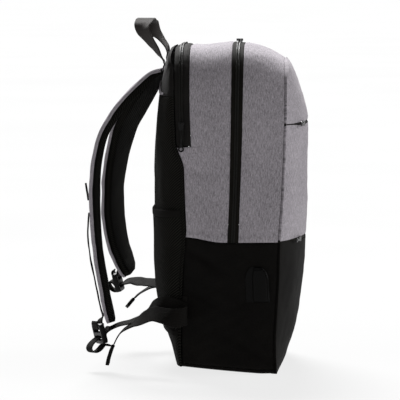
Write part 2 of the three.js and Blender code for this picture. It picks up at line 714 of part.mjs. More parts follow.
// Sweeps a section along a route: the section lies across the route and off its face
function sweep(rows, steps, section) {
  const route = new THREE.CatmullRomCurve3(rows.map((r) => vec(r.x, r.y, r.z)));
  const turning = new THREE.CatmullRomCurve3(rows.map((r) => vec(...r.across)));
  const shares = new THREE.CatmullRomCurve3(rows.map((r) => vec(r.wide ?? 1, r.thick ?? 1, 0)));
  const points = [];
  let ring = [];
  for (let k = 0; k <= steps; k += 1) {
    const s = k / steps;
    const middle = route.getPoint(s);
    const along = route.getTangent(s);
    const across = turning.getPoint(s);
    across.addScaledVector(along, -across.dot(along)).normalize();
    const face = vec(0, 0, 0).crossVectors(across, along);
    const share = shares.getPoint(s);
    ring = section(share.x, share.y);
    for (const [a, b] of ring) {
      points.push(middle.clone().addScaledVector(across, a).addScaledVector(face, b));
    }
  }
  return sweepSolid(points, ring, steps);
}

// Closes a sweep: its sides and its two end faces
function sweepSolid(points, ring, steps) {
  const n = ring.length;
  const index = [];
  for (let k = 0; k < steps; k += 1) {
    for (let i = 0; i < n; i += 1) {
      const a = k * n + i;
      const b = k * n + (i + 1) % n;
      index.push(a, b, b + n, a, b + n, a + n);
    }
  }
  const contour = ring.map(([a, b]) => new THREE.Vector2(a, b));
  const turned = THREE.ShapeUtils.area(contour) < 0;
  const end = steps * n;
  for (const [a, b, c] of THREE.ShapeUtils.triangulateShape(contour, [])) {
    const [p, q] = turned ? [c, b] : [b, c];
    index.push(a, q, p);
    index.push(end + a, end + p, end + q);
  }
  return solid(points, index);
}

// Flat webbing, its face lifted off the route
function flatSection(width, thick, lift) {
  const half = width / 2;
  return () => [[-half, lift], [half, lift], [half, lift - thick], [-half, lift - thick]];
}

// Soft padding under the strap cover
function padSection(wide, thick) {
  const half = strapWidth / 2 * wide;
  const top = -(coverThick + coverGap);
  const foot = top - strapPad * thick;
  const round = Math.min(3, strapPad * thick * 0.35);
  return [
    [-half, top], [half, top], [half, foot + round], [half - round, foot],
    [-half + round, foot], [-half, foot + round],
  ];
}

// Cover over the outer face of a strap, folded round its edges
function coverSection(wide, thick) {
  const half = strapWidth / 2 * wide;
  const out = half + coverGap + coverThick;
  const inside = half + coverGap;
  const foot = -(coverThick + coverGap + coverWrap * thick);
  return [
    [-out, 0], [out, 0], [out, foot], [inside, foot],
    [inside, -coverThick], [-inside, -coverThick], [-inside, foot], [-out, foot],
  ];
}

// Points over the face of a strap, to be followed by a webbing
function onStrap(rows, lifts, from, to) {
  const route = new THREE.CatmullRomCurve3(rows.map((r) => vec(r.x, r.y, r.z)));
  const turning = new THREE.CatmullRomCurve3(rows.map((r) => vec(...r.across)));
  return lifts.map((lift, k) => {
    const s = lerp(from, to, k / (lifts.length - 1));
    const along = route.getTangent(s);
    const across = turning.getPoint(s);
    across.addScaledVector(along, -across.dot(along)).normalize();
    const face = vec(0, 0, 0).crossVectors(across, along);
    const p = route.getPoint(s).addScaledVector(face, lift);
    return { x: p.x, y: p.y, z: p.z, across: [across.x, across.y, across.z] };
  });
}

// Directions of a buckle: its width, its length and its outer face
function buckleFrame(side) {
  const rise = vec(...buckles[side].up).normalize();
  const across = vec(...buckles[side].across);
  across.addScaledVector(rise, -across.dot(rise)).normalize();
  return { across, rise, face: vec(0, 0, 0).crossVectors(across, rise) };
}

// Rows of a webbing given in the frame of its buckle
function atBuckle(side, rows) {
  const { across, rise, face } = buckleFrame(side);
  const { x, y, z } = buckles[side];
  return rows.map((row) => {
    const p = vec(x, y, z).addScaledVector(face, -row.out).addScaledVector(rise, row.rise);
    return { x: p.x, y: p.y, z: p.z, across: [across.x, across.y, across.z] };
  });
}

// Plate with two slots that holds both webbings
function ladderBuckle(side) {
  const half = buckleWidth / 2;
  const tall = buckleLength / 2;
  const plate = new THREE.Shape();
  plate.moveTo(-half + 4, -tall);
  plate.lineTo(half - 4, -tall);
  plate.quadraticCurveTo(half, -tall, half, -tall + 4);
  plate.lineTo(half, tall - 4);
  plate.quadraticCurveTo(half, tall, half - 4, tall);
  plate.lineTo(-half + 4, tall);
  plate.quadraticCurveTo(-half, tall, -half, tall - 4);
  plate.lineTo(-half, -tall + 4);
  plate.quadraticCurveTo(-half, -tall, -half + 4, -tall);
  for (const middle of [-5.4, 5.4]) {
    const slot = new THREE.Path();
    slot.moveTo(-half + 4, middle - 3);
    slot.lineTo(-half + 4, middle + 3);
    slot.lineTo(half - 4, middle + 3);
    slot.lineTo(half - 4, middle - 3);
    slot.closePath();
    plate.holes.push(slot);
  }
  const geometry = new THREE.ExtrudeGeometry(plate, {
    depth: buckleThick, bevelEnabled: false, curveSegments: 3,
  });
  geometry.translate(0, 0, -buckleThick / 2);
  const { x, y, z } = buckles[side];
  const { across, rise, face } = buckleFrame(side);
  geometry.applyMatrix4(new THREE.Matrix4().makeBasis(across, rise, face));
  geometry.translate(x, y, z);
  return geometry;
}

function strapPieces(side) {
  const sign = side === 'left' ? -1 : 1;
  const route = strapRoutes[side];
  const centred = webbingThick / 2;
  const lifts = [1, 3.4, 4.4, 4.2, 3.8, 3.2, 2.6, 2.2, 2, 2].map((lift) => webbingLift + centred + lift - 1);
  const upper = [...onStrap(route, lifts, 0.56, 0.9), ...atBuckle(side, stubLoop)];
  const lower = [...atBuckle(side, slackLoops[side]), ...lowerRoutes[side]];
  const tab = onStrap(route, [5.4, 4, 2.6, 1.6], 0.48, 0.53);
  return {
    [`strap_pad_${side}`]: sweep(route, 28, padSection),
    [`strap_cover_${side}`]: sweep(route, 28, coverSection),
    [`strap_tab_${side}`]: sweep(tab, 4, flatSection(20, 2, 1)),
    [`strap_webbing_${side}`]: sweep(upper, 28, flatSection(webbingWidth, webbingThick, centred)),
    [`ladder_buckle_${side}`]: ladderBuckle(side),
    [`lower_webbing_${side}`]: sweep(lower, 52, flatSection(webbingWidth, webbingThick, centred)),
    [`webbing_end_${side}`]: sweep(tailRoutes[side], 5, flatSection(webbingWidth, 4.6, 2.3)),
    [`webbing_anchor_${side}`]: anchor(sign),
  };
}

// Short doubled webbing sewn to the side near the back seam
function anchor(side) {
  const rows = [70, 80, 90, 100];
  const grid = rows.map((z) => [54, 57, 60.3].map((y) => skin(side, upTo(z, bagHeight), y)));
  return cloth(grid, gap + webbingThick, webbingThick);
}

// Depth of the outer face of the yoke
function yokeFace(x, z) {
  const v = upTo(z, crest[crest.length - 1].high * bagHeight);
  return backPoint(x / skin(1, v, seamRear(levelOf(v))).x, v, 1, padEdge).y;
}

function handle() {
  const sewn = (x, z) => ({ x, y: yokeFace(x, z) + sewnLift + handleThick / 2, z });
  const route = handleRoute.map((row) => (row.sewn ? { ...row, ...sewn(row.x, row.z) } : row));
  return sweep(route, 30, flatSection(24, handleThick, handleThick / 2));
}

// Slider of a zip: a small saddle, its frame given by its middle and two directions
function slider(middle, along, out, length, width, height) {
  const side = vec(0, 0, 0).crossVectors(along, out).normalize();
  const shape = new THREE.Shape();
  shape.moveTo(-length / 2, -width / 2);
  shape.lineTo(length / 2, -width / 2 + 1.4);
  shape.lineTo(length / 2, width / 2 - 1.4);
  shape.lineTo(-length / 2, width / 2);
  shape.closePath();
  const geometry = new THREE.ExtrudeGeometry(shape, { depth: height, bevelEnabled: false });
  geometry.applyMatrix4(new THREE.Matrix4().makeBasis(along, side.negate(), out));
  geometry.translate(middle.x, middle.y, middle.z);
  return geometry;
}

// Puller: a flat tongue with a round hole, hanging from a slider
function puller(middle, down, out, length, width, thick) {
  const side = vec(0, 0, 0).crossVectors(out, down).normalize();
  const half = width / 2;
  const join = Math.PI - Math.asin(1.6 / half);
  const tongue = new THREE.Shape();
  tongue.moveTo(0, -1.6);
  tongue.absarc(length - half, 0, half, -join, join, false);
  tongue.lineTo(0, 1.6);
  tongue.closePath();
  const eye = new THREE.Path();
  eye.absarc(length - half, 0, half * 0.5, 0, Math.PI * 2, true);
  tongue.holes.push(eye);
  const geometry = new THREE.ExtrudeGeometry(tongue, {
    depth: thick, bevelEnabled: false, curveSegments: 6,
  });
  geometry.applyMatrix4(new THREE.Matrix4().makeBasis(down, side, out));
  geometry.translate(middle.x, middle.y, middle.z);
  return geometry;
}

// Place and directions on the front cloth beside a zip: out of the cloth and towards the left
function frontFrame(u, height) {
  const v = upTo(height, crest[0].high * bagHeight);
  const middle = frontPoint(u, v, wall + gap);
  const along = frontPoint(u - 0.02, v, wall).sub(frontPoint(u + 0.02, v, wall)).normalize();
  const up = frontPoint(u, v + 0.01, wall).sub(frontPoint(u, v - 0.01, wall));
  return { middle, along, out: up.cross(along).normalize() };
}

// Slider of a front zip with its puller lying along the zip
function frontSlider(name, u, height) {
  const { middle, along, out } = frontFrame(u, height);
  const start = middle.clone().addScaledVector(out, 2.6 + gap).addScaledVector(along, 1);
  return {
    [`${name}_slider`]: slider(middle, along, out, 9, 7, 2.6),
    [`${name}_puller`]: puller(start, along, out, 22, 6.5, 1.6),
  };
}

function zipHardware() {
  const zipY = -0.093 * bagDepth;
  const peak = skin(0, 1, zipY).z + coilThick + gap;
  const laptop = skin(-1, upTo(327, 431), 62);
  const left = vec(-1, 0, 0);
  const right = vec(1, 0, 0);
  const down = vec(0, 0, -1);
  const up = vec(0, 0, 1);
  const face = laptop.x - coilThick - 1.2;
  return {
    main_zip_slider: slider(vec(8, zipY, peak), right, up, 11, 9, 3),
    main_zip_puller: puller(vec(1.8, zipY, peak + 1), left, up, 26, 7, 1.6),
    laptop_zip_slider: slider(vec(face, laptop.y, laptop.z), down, left, 10, 8, 3),
    laptop_zip_puller: puller(
      vec(face - 1.2, laptop.y, laptop.z - 5.8), down, left, 28, 8, 1.8,
    ),
    ...frontSlider('pocket_zip', -0.6, pocketZipHeight),
    ...frontSlider('base_zip', -0.62, baseZipHeight),
  };
}

const finishes = [
  [/^(front_panel_upper|front_pocket_panel|front_gusset|rear_gusset)$/, grey],
  [/^(strap_cover|strap_root)/, grey],
  [/^(back_pad|trolley_sleeve|strap_pad)/, mesh],
  [/(webbing|handle|anchor|hem)/, webbing],
  [/^ladder_buckle|usb_cover/, plastic],
  [/(slider|puller)$/, metal],
];

// Adds one named piece with its own material
function add(bag, name, geometry) {
  const found = finishes.find(([pattern]) => pattern.test(name));
  const finish = found ? found[1] : black;
  const piece = new THREE.Mesh(geometry, new THREE.MeshStandardMaterial(finish));
  piece.name = name;
  bag.add(piece);
}

const bag = new THREE.Group();
bag.name = 'laptop_backpack';
const pieces = {
  ...frontPieces(),
  front_gusset: frontGusset(),
  rear_gusset: rearGusset(),
  side_panel_left: sidePanel(-1),
  side_panel_right: sidePanel(1),
  base_panel: basePanel(),
  main_zip_tape: mainZipTape(),
  main_zip_coil: mainZipCoil(),
  laptop_zip_band: laptopZipBand(),
  laptop_zip_coil: laptopZipCoil(),
  usb_cover: usbCover(),
  ...backPieces(),
  handle: handle(),
  ...strapPieces('left'),
  ...strapPieces('right'),
  ...zipHardware(),
};
for (const [name, geometry] of Object.entries(pieces)) {
  add(bag, name, geometry);
}

export default bag;
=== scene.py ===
import math

import bpy
import numpy as np
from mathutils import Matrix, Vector


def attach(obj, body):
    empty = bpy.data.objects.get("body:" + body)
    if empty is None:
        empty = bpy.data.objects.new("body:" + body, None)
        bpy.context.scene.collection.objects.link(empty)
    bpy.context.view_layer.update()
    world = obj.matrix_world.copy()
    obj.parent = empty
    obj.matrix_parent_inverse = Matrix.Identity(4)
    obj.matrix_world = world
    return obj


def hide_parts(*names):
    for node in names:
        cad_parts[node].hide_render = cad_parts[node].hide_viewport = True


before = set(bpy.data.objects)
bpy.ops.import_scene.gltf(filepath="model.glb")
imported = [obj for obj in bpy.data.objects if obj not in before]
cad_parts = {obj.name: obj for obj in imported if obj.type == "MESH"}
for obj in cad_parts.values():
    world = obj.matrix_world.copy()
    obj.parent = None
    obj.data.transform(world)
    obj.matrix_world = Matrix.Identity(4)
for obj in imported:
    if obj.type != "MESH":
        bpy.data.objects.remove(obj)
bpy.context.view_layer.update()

# A laptop backpack standing on its base. The tables and rules of the shape are those of the
# solids, in millimetres: X across the bag, -Y its front, +Y the wearer's side, Z up.

BAG_HEIGHT = 438.0
BAG_WIDTH = 290.0
BAG_DEPTH = 130.0
FRONT_SWELL = 36.0
BACK_SWELL = 46.0
SHOULDER = 253.0
CORNER_POWER = 4.6
SIDE_CURVE = 6.0
HEEL_LIFT = 9.0
LINE_HEIGHT = 175.0
LINE_RISE = 6.5
RIM_HEIGHT = 2.0
WALL = 3.0
GAP = 0.35
ZIP_GAP = 0.6
RIM_GAP = 1.0
COVER_GAP = 1.3
WEBBING_LIFT = 0.6
PAD_EDGE = 3.0
PAD_SHARE = 0.1
TAPE_THICK = 1.4
COIL_WIDTH = 5.0
COIL_THICK = 1.3
POCKET_ZIP = 331.0
BASE_ZIP = 176.0
FRONT_TAPE = 4.0
YOKE = 371.0
SLEEVE_TOP = 214.0
SLEEVE_FOOT = 56.0
SLEEVE_TOP_RISE = 4.0
SLEEVE_FOOT_SAG = 14.0
HEM = 10.0
SLEEVE_STAND_OFF = 1.0
SLEEVE_THICK = 2.0
STRAP_WIDTH = 58.0
STRAP_PAD = 10.5
COVER_THICK = 1.8
COVER_WRAP = 1.9
WEBBING_WIDTH = 25.0
WEBBING_THICK = 1.6
HANDLE_THICK = 1.8
SEWN_LIFT = 0.8

# Level (share of the height), front seam and rear seam (shares of the depth), swell of the front
# and of the back pad, half width (shares of the full ones)
LEVELS = np.array([
    [0.0, -0.468, 0.467, 0.2, 0.2, 0.958],
    [0.012, -0.467, 0.468, 0.3, 0.23, 0.966],
    [0.03, -0.466, 0.47, 0.42, 0.275, 0.97],
    [0.06, -0.463, 0.473, 0.56, 0.35, 0.974],
    [0.12, -0.461, 0.472, 0.8, 0.55, 0.981],
    [0.215, -0.481, 0.462, 0.92, 0.78, 0.988],
    [0.31, -0.497, 0.451, 0.985, 0.905, 0.995],
    [0.4, -0.505, 0.427, 1.02, 0.98, 1.0],
    [0.49, -0.527, 0.436, 0.99, 0.99, 1.0],
    [0.585, -0.542, 0.446, 0.93, 0.95, 0.998],
    [0.635, -0.549, 0.456, 0.91, 0.92, 0.996],
    [0.69, -0.555, 0.5215, 0.9, 0.73, 0.994],
    [0.76, -0.562, 0.537, 0.89, 0.645, 0.991],
    [0.8, -0.566, 0.543, 0.86, 0.59, 0.989],
    [0.87, -0.568, 0.549, 0.67, 0.49, 0.984],
    [0.94, -0.567, 0.555, 0.41, 0.32, 0.978],
    [0.975, -0.564, 0.556, 0.26, 0.22, 0.975],
    [1.0, -0.56, 0.556, 0.08, 0.1, 0.972],
])
FRONT, REAR, CROWN, PAD, HALF = 1, 2, 3, 4, 5

# at, front edge of the main zip, its rear edge, front edge of the laptop zip band
STRIPS = np.array([
    [0.38, -0.1, 0.004, 0.37],
    [0.53, -0.116, -0.015, 0.375],
    [0.69, -0.134, -0.026, 0.381],
    [0.8, -0.141, -0.031, 0.396],
    [1.0, -0.15, -0.036, 0.402],
])
ZIP_FRONT, ZIP_REAR, BAND_FRONT = 1, 2, 3

# place from the front seam to the rear one, height of the top (share of the bag's)
CREST = np.array([
    [0.0, 0.948], [0.14, 0.974], [0.28, 0.99], [0.4, 0.995], [0.48, 0.997],
    [0.6, 0.993], [0.74, 0.987], [0.84, 0.989], [0.9, 0.992], [1.0, 0.987],
])
FRONT_TOP, BACK_TOP = CREST[0, 1] * BAG_HEIGHT, CREST[-1, 1] * BAG_HEIGHT

# How many times deeper the folds are here than in the solids
FOLD_GAIN = 1.6
# y, z, run, wide, turn, deep
FOLDS = [
    (34, 155, 26, 6, 32, 2.2),
    (42, 106, 24, 6, 25, 1.8),
    (-30, 33, 30, 7, 32, 2.0),
    (42, 269, 20, 5, 4, 1.4),
    (-44, 253, 9, 60, 4, 1.2),
    (20, 333, 12, 70, -3, 1.0),
]

# x, y, z of the outer face, direction across it, shares of the full width and thickness
STRAP_ROUTES = {
    "left": [
        (-55, 92.4, 401.6, 1, 0, 0, 0.96, 0.4),
        (-55, 97, 400.8, 1, 0, 0, 0.98, 0.55),
        (-55.5, 107.5, 397.6, 1, 0, 0, 1, 0.8),
        (-60, 126, 382.6, 1, 0.02, 0, 1, 1),
        (-68, 147.2, 360.7, 1, 0.03, 0, 1, 1),
        (-75, 162.6, 340, 1, 0.04, 0, 1, 1),
        (-80, 175.6, 315, 1, 0.04, 0, 1, 1),
        (-85, 183.2, 283.5, 1, 0.04, 0, 1, 1),
        (-88, 186, 254, 1, 0.04, 0, 1, 1),
        (-90, 186.4, 227, 1, 0.04, 0, 1, 1),
        (-92, 185, 195, 1, 0.05, 0, 1, 1),
        (-94, 183, 169, 1, 0.06, 0, 1, 1),
        (-97, 179.4, 143, 1, 0.06, 0, 1, 1),
        (-100, 174.6, 117, 1, 0.06, 0, 1, 1),
        (-103, 170.4, 93, 1, 0.06, 0, 0.99, 1),
        (-105.5, 166.4, 77, 1, 0.05, 0, 0.9, 0.95),
        (-106.5, 163.6, 68, 1, 0.04, 0, 0.68, 0.85),
        (-107, 162, 63, 1, 0.04, 0, 0.4, 0.7),
    ],
    "right": [
        (55, 92.4, 401.2, 1, 0, 0, 0.96, 0.4),
        (55, 97, 399.6, 1, -0.02, -0.01, 0.98, 0.55),
        (56, 107, 394, 1, -0.12, -0.06, 1, 0.8),
        (61, 120, 379, 0.97, -0.28, -0.05, 1, 1),
        (71, 132, 360, 0.93, -0.4, 0, 1, 1),
        (82, 144, 339.5, 0.91, -0.41, 0, 1, 1),
        (91, 154.3, 320, 0.92, -0.385, 0, 1, 1),
        (98, 161.6, 297, 0.93, -0.35, 0, 1, 1),
        (103, 168.8, 268, 0.94, -0.315, 0, 1, 1),
        (106, 173, 239, 0.94, -0.29, 0, 1, 1),
        (107, 173.8, 208, 0.94, -0.29, 0, 1, 1),
        (108, 172.8, 187, 0.94, -0.29, 0, 1, 1),
        (110, 169.9, 165, 0.94, -0.28, 0, 1, 1),
        (112, 165.4, 145, 0.94, -0.27, 0, 0.99, 1),
        (114.5, 159, 127, 0.94, -0.27, 0, 0.92, 1),
        (116.5, 153.4, 113.5, 0.94, -0.27, 0, 0.76, 0.95),
        (117.5, 150.6, 107, 0.94, -0.27, 0, 0.5, 0.8),
    ],
}

# middle, direction up the buckle, direction across it
BUCKLES = {
    "left": ((-108, 172, 50), (0, 0.24, 0.97), (0.92, 0.38, 0)),
    "right": ((118, 161.5, 96), (0, 0.25, 0.97), (0.99, -0.12, 0)),
}
# Webbing at a buckle: out from its middle, up it
STUB_LOOP = [(-4.6, 14.5), (-3.6, 9.4), (-1, 6.6), (2.6, 6.9), (3.6, 10.8), (3.6, 15), (2, 17.6)]
SLACK_LOOPS = {
    "left": [
        (-9, -19.6), (-6.5, -17.6), (-3.6, -15.6), (0, -16.2), (4, -19), (9, -21.6), (14.5, -22),
        (18.6, -19.2), (19, -14.8), (16, -10.8), (11.5, -7.8), (5.5, -5.2), (0, -4.1), (-6, -3.6),
    ],
    "right": [
        (3.6, -12.4), (6.8, -11.6), (10.6, -8.6), (13.2, -3.6), (12.4, 2), (9, 3.6), (5.4, -0.6),
        (3, -4.4), (-2.6, -4.2),
    ],
}
# x, y, z of the webbing, direction across it
LOWER_ROUTES = {
    "left": [
        (-109, 162, 53.5, 1, 0.2, 0), (-112, 155, 58.5, 1, 0.08, 0.05),
        (-118, 144, 63.8, 1, 0, 0.08), (-124, 130.5, 68, 1, 0, 0.1), (-129, 117, 74, 1, 0, 0.15),
        (-133, 106, 82.5, 0.97, 0, 0.25), (-136, 98, 91, 0.87, 0, 0.5),
        (-139.5, 87, 92.5, 0.5, 0, 0.85), (-141.2, 76, 90, 0.1, 0, 1), (-140.9, 68, 87.5, 0, 0, 1),
        (-140.7, 61, 85, 0, 0, 1), (-143.6, 56, 83, 0, 0, 1), (-150, 54.2, 81, 0, 0, 1),
        (-156, 55, 79.5, 0, 0, 1), (-161, 60, 78.5, 0, 0, 1), (-163, 70, 77.5, 0.2, 0, 1),
        (-161, 84, 80, 0.66, 0, 0.7), (-156, 97, 82, 0.72, 0, 0.62), (-149, 112, 76, 0.8, 0, 0.55),
        (-143, 121, 70.5, 0.93, 0, 0.3), (-137.5, 133, 62.5, 1, 0, 0.08),
        (-134.5, 141, 56, 1, 0, 0), (-132, 147.5, 47, 1, 0, 0), (-130.8, 152, 37.5, 1, 0, 0),
    ],
    "right": [
        (118.2, 152.4, 93.6, 1, -0.08, 0.05), (121, 146, 95.2, 0.97, -0.02, 0.22),
        (125, 138, 95.6, 0.93, 0, 0.34), (128, 130, 95.4, 0.93, 0, 0.36),
        (131.5, 117, 93.5, 0.93, 0, 0.36), (135, 101, 91.5, 0.85, 0, 0.5),
        (139.5, 88, 90, 0.5, 0, 0.85), (141.2, 76, 88, 0.1, 0, 1), (140.9, 68, 86.5, 0, 0, 1),
        (140.7, 61, 85, 0, 0, 1), (143.6, 56, 83, 0, 0, 1), (150, 54.2, 81.5, 0, 0, 1),
        (156, 55.5, 80.5, 0, 0, 1), (160, 60, 80, 0, 0, 1), (161, 74, 80.5, -0.25, 0, 1),
        (157, 87, 83.5, -0.8, 0, 0.55), (151, 100, 86.5, -0.97, 0, 0.2), (144, 112, 86.5, -1, 0, 0),
        (138, 123, 82.8, -1, 0, 0), (133, 133, 77, -1, 0, 0), (129, 140.5, 70.5, -1, 0, 0),
    ],
}
TAIL_ROUTES = {
    "left": [
        (-130.6, 153.2, 35.2, 1, 0, 0), (-130, 155.8, 28.5, 1, 0, 0), (-129.6, 158.6, 20, 1, 0, 0),
        (-129.4, 160, 12, 1, 0, 0),
    ],
    "right": [
        (128.6, 141.4, 69.6, 1, 0, 0), (127, 144.8, 65.5, 1, 0, 0), (125, 149.2, 60, 1, 0, 0),
    ],
}
# The same for the handle, with no y where it is sewn down on the yoke
HANDLE_ROUTE = [
    (-38, None, 404, 1, 0, 0), (-38.5, None, 408, 1, 0, 0), (-39, 90, 412, 1, 0, 0),
    (-41, 94.4, 418, 0.97, 0.2, 0), (-45, 102, 430.5, 0.9, 0.4, -0.1),
    (-48, 110.5, 442.5, 0.82, 0.52, -0.2), (-47, 116, 452, 0.7, 0.66, -0.2),
    (-40, 117.5, 460.5, 0.45, 0.88, 0), (-24, 116.5, 466, 0.15, 0.98, 0), (-2, 115, 468, 0, 1, 0),
    (20, 114.5, 466.5, -0.1, 0.99, 0), (36, 111.6, 459.5, -0.38, 0.9, 0),
    (43, 104.4, 449.5, -0.7, 0.66, 0.1), (44, 96, 439, -0.88, 0.4, 0.1),
    (43, 89.6, 429.5, -0.96, 0.22, 0), (41, 87.8, 420, -1, 0.06, 0), (39, 88.8, 412.5, -1, 0, 0),
    (38.5, None, 408, -1, 0, 0), (38, None, 404, -1, 0, 0),
]


# Rules of the shape

def lerp(a, b, f):
    return a + (b - a) * f


def smooth(x, low, high):
    f = np.clip((x - low) / (high - low), 0, 1)
    return f * f * (3 - 2 * f)


def read(table, key, at):
    """Smooth reading of one column of a table."""
    at = np.asarray(at, float)
    x, y = table[:, 0], table[:, key]
    last = len(x) - 1
    slope = np.array([
        (y[min(k + 1, last)] - y[max(k - 1, 0)]) / (x[min(k + 1, last)] - x[max(k - 1, 0)])
        for k in range(last + 1)
    ])
    i = np.clip(np.searchsorted(x[1:last], at, side="left"), 0, last - 1)
    span = x[i + 1] - x[i]
    f = np.clip((at - x[i]) / span, 0, 1)
    f2, f3 = f * f, f * f * f
    return ((2 * f3 - 3 * f2 + 1) * y[i] + (3 * f2 - 2 * f3) * y[i + 1]
            + (f3 - 2 * f2 + f) * span * slope[i] + (f3 - f2) * span * slope[i + 1])


def level_of(v):
    """Share of the height at v, which is -1 at the foot, 0 at the shoulder and 1 at the top."""
    v = np.asarray(v, float)
    return np.where(v >= 0, SHOULDER + (BAG_HEIGHT - SHOULDER) * v, SHOULDER * (1 + v)) / BAG_HEIGHT


def up_to(height, top):
    """The v of a height where the bag is so tall."""
    height = np.asarray(height, float)
    above = (height - SHOULDER) / (top - SHOULDER)
    return np.where(height >= SHOULDER, above, height / SHOULDER - 1)


def squircle(u, v):
    """Pulls a square's upper corners in to the bag's rounded ones."""
    u, v = np.broadcast_arrays(np.asarray(u, float), np.asarray(v, float))
    m = np.maximum(np.maximum(np.abs(u), np.abs(v)), 1e-6)
    pv = np.maximum(v / m, 1e-9)
    around = (np.abs(u / m) ** CORNER_POWER + pv ** CORNER_POWER) ** (-1 / CORNER_POWER)
    f = np.where(v > 0, 1 + (around - 1) * m ** 3, 1.0)
    return u * f, v * f


def fold_depth(y, z):
    """Depth of all folds at one place on the side."""
    depth = 0.0
    for fy, fz, run, wide, turn, deep in FOLDS:
        t = math.radians(turn)
        dy, dz = y - fy, z - fz
        along = (dy * math.cos(t) + dz * math.sin(t)) / run
        over = (dz * math.cos(t) - dy * math.sin(t)) / wide
        depth = depth + FOLD_GAIN * deep * np.exp(-along * along - over * over)
    return depth


def lift_at(u, t, at):
    """How much the rear of the underside rises towards the sides."""
    side = smooth(np.abs(u), 0.35, 1)
    back = np.maximum(0, (t - 0.15) / 0.85)
    low = np.maximum(0, 1 - at * BAG_HEIGHT / LINE_HEIGHT)
    return HEEL_LIFT * side * back * low


def seam_front(at):
    return read(LEVELS, FRONT, at) * BAG_DEPTH


def seam_rear(at):
    return read(LEVELS, REAR, at) * BAG_DEPTH


def strip_edge(key):
    return lambda at: read(STRIPS, key, np.clip(at, 0.38, 1)) * BAG_DEPTH


def skin(u, v, y):
    """A place on the outside of the bag's walls."""
    u, v, y = np.broadcast_arrays(np.asarray(u, float), np.asarray(v, float), np.asarray(y, float))
    at = level_of(v)
    t = np.clip((y - seam_front(at)) / (seam_rear(at) - seam_front(at)), 0, 1)
    top = read(CREST, 1, t) * BAG_HEIGHT
    z = np.where(v >= 0, SHOULDER + (top - SHOULDER) * v, at * BAG_HEIGHT + lift_at(u, t, at))
    half = BAG_WIDTH / 2 * read(LEVELS, HALF, at) - SIDE_CURVE * (2 * t - 1) ** 2
    dent = np.where(np.abs(u) > 0.6, fold_depth(y, z), 0)
    return np.stack([u * (half - dent), y, z], -1)


def line_at(y):
    """Height of the line between the grey and the black cloth."""
    return LINE_HEIGHT + LINE_RISE * smooth(y, 8, 56)


def front_point(u, v, lift):
    su, sv = squircle(u, v)
    at = level_of(sv)
    p = skin(su, sv, seam_front(at))
    crown = np.maximum(0, FRONT_SWELL * read(LEVELS, CROWN, at) - WALL - GAP)
    p[..., 1] -= GAP + lift + crown * (1 - np.abs(u) ** 2.5)
    return p


def back_rise(at):
    return BACK_SWELL * read(LEVELS, PAD, at) - PAD_EDGE - RIM_GAP


def pad_profile(u):
    return (1 - np.minimum(np.abs(u), 1) ** 3) ** 0.6


def back_point(u, v, share, edge):
    su, sv = squircle(u, v)
    at = level_of(sv)
    p = skin(su, sv, seam_rear(at))
    p[..., 1] += RIM_GAP + edge + back_rise(at) * pad_profile(u) * share
    return p


# Mesh helpers

# A line inside the bag that the cloth faces away from: its lean and its top
CORE_LEAN, CORE_TOP = 0.4, 210
# Reach of free hanging, of the roll and of the puckers from a seam, and the least cloth left
FREE_REACH, ROLL_REACH, PUCKER_AT, PUCKER_REACH, LEAST_CLOTH = 14, 3.2, 4, 5, 0.9


def noise_field(seed, scale, count=9):
    """A smooth field over space, about -1 to 1: a sum of plane waves of one rough length."""
    rng = np.random.default_rng(seed)
    dirs = rng.normal(size=(count, 3))
    dirs /= np.linalg.norm(dirs, axis=1)[:, None]
    waves = dirs * (2 * math.pi / (scale * rng.uniform(0.7, 1.6, count)))[:, None]
    phases = rng.uniform(0, 2 * math.pi, count)
    return lambda p: np.sin(p @ waves.T + phases).sum(-1) / math.sqrt(count) * 0.7


def grid_normals(grid):
    down = np.empty_like(grid)
    over = np.empty_like(grid)
    down[1:-1], down[0], down[-1] = grid[2:] - grid[:-2], grid[1] - grid[0], grid[-1] - grid[-2]
    over[:, 1:-1] = grid[:, 2:] - grid[:, :-2]
    over[:, 0], over[:, -1] = grid[:, 1] - grid[:, 0], grid[:, -1] - grid[:, -2]
    n = np.cross(down, over)
    n /= np.maximum(np.linalg.norm(n, axis=-1), 1e-9)[..., None]
    low = np.stack([
        np.zeros(grid.shape[:2]), grid[..., 1] * CORE_LEAN, np.minimum(grid[..., 2], CORE_TOP),
    ], -1)
    n[(n * (grid - low)).sum(-1) < 0] *= -1
    return n


def lengths(grid):
    """Length along the cloth from the first row and from the first column to every point."""
    down = np.linalg.norm(np.diff(grid, axis=0), axis=-1).cumsum(0)
    over = np.linalg.norm(np.diff(grid, axis=1), axis=-1).cumsum(1)
    return np.pad(down, ((1, 0), (0, 0))), np.pad(over, ((0, 0), (1, 0)))


def edge_distance(grid, sides):
    """Distance of every point to the named edges: t first row, b last row, l and r columns."""
    rows, cols = lengths(grid)
    each = {"t": rows, "b": rows[-1:] - rows, "l": cols, "r": cols[:, -1:] - cols}
    return np.min([each[s] for s in sides], axis=0)


def sewn(grid, thick, crumple, seed, roll=1.1, pucker=0.35, grain=46.0):
    """Outer and inner face of a sewn panel: it rolls in at its seams and crumples a little."""
    n = grid_normals(grid)
    far = edge_distance(grid, "tblr")
    wide, small = noise_field(seed, grain), noise_field(seed + 50, grain * 0.36)
    along = noise_field(seed + 90, 11.0)
    free = 1 - np.exp(-far / FREE_REACH)
    wave = crumple * (wide(grid) + 0.45 * small(grid)) * (0.35 + 0.65 * free)
    gather = pucker * along(grid) * np.exp(-((far - PUCKER_AT) / PUCKER_REACH) ** 2)
    drop = roll * (1 - smooth(far, 0, ROLL_REACH)) ** 1.5
    limit = thick - LEAST_CLOTH
    inner = grid - n * (thick - np.clip(wave, -limit, limit) * 0.6)[..., None]
    outer = grid + n * np.maximum(wave + gather - drop, -limit)[..., None]
    return outer, inner


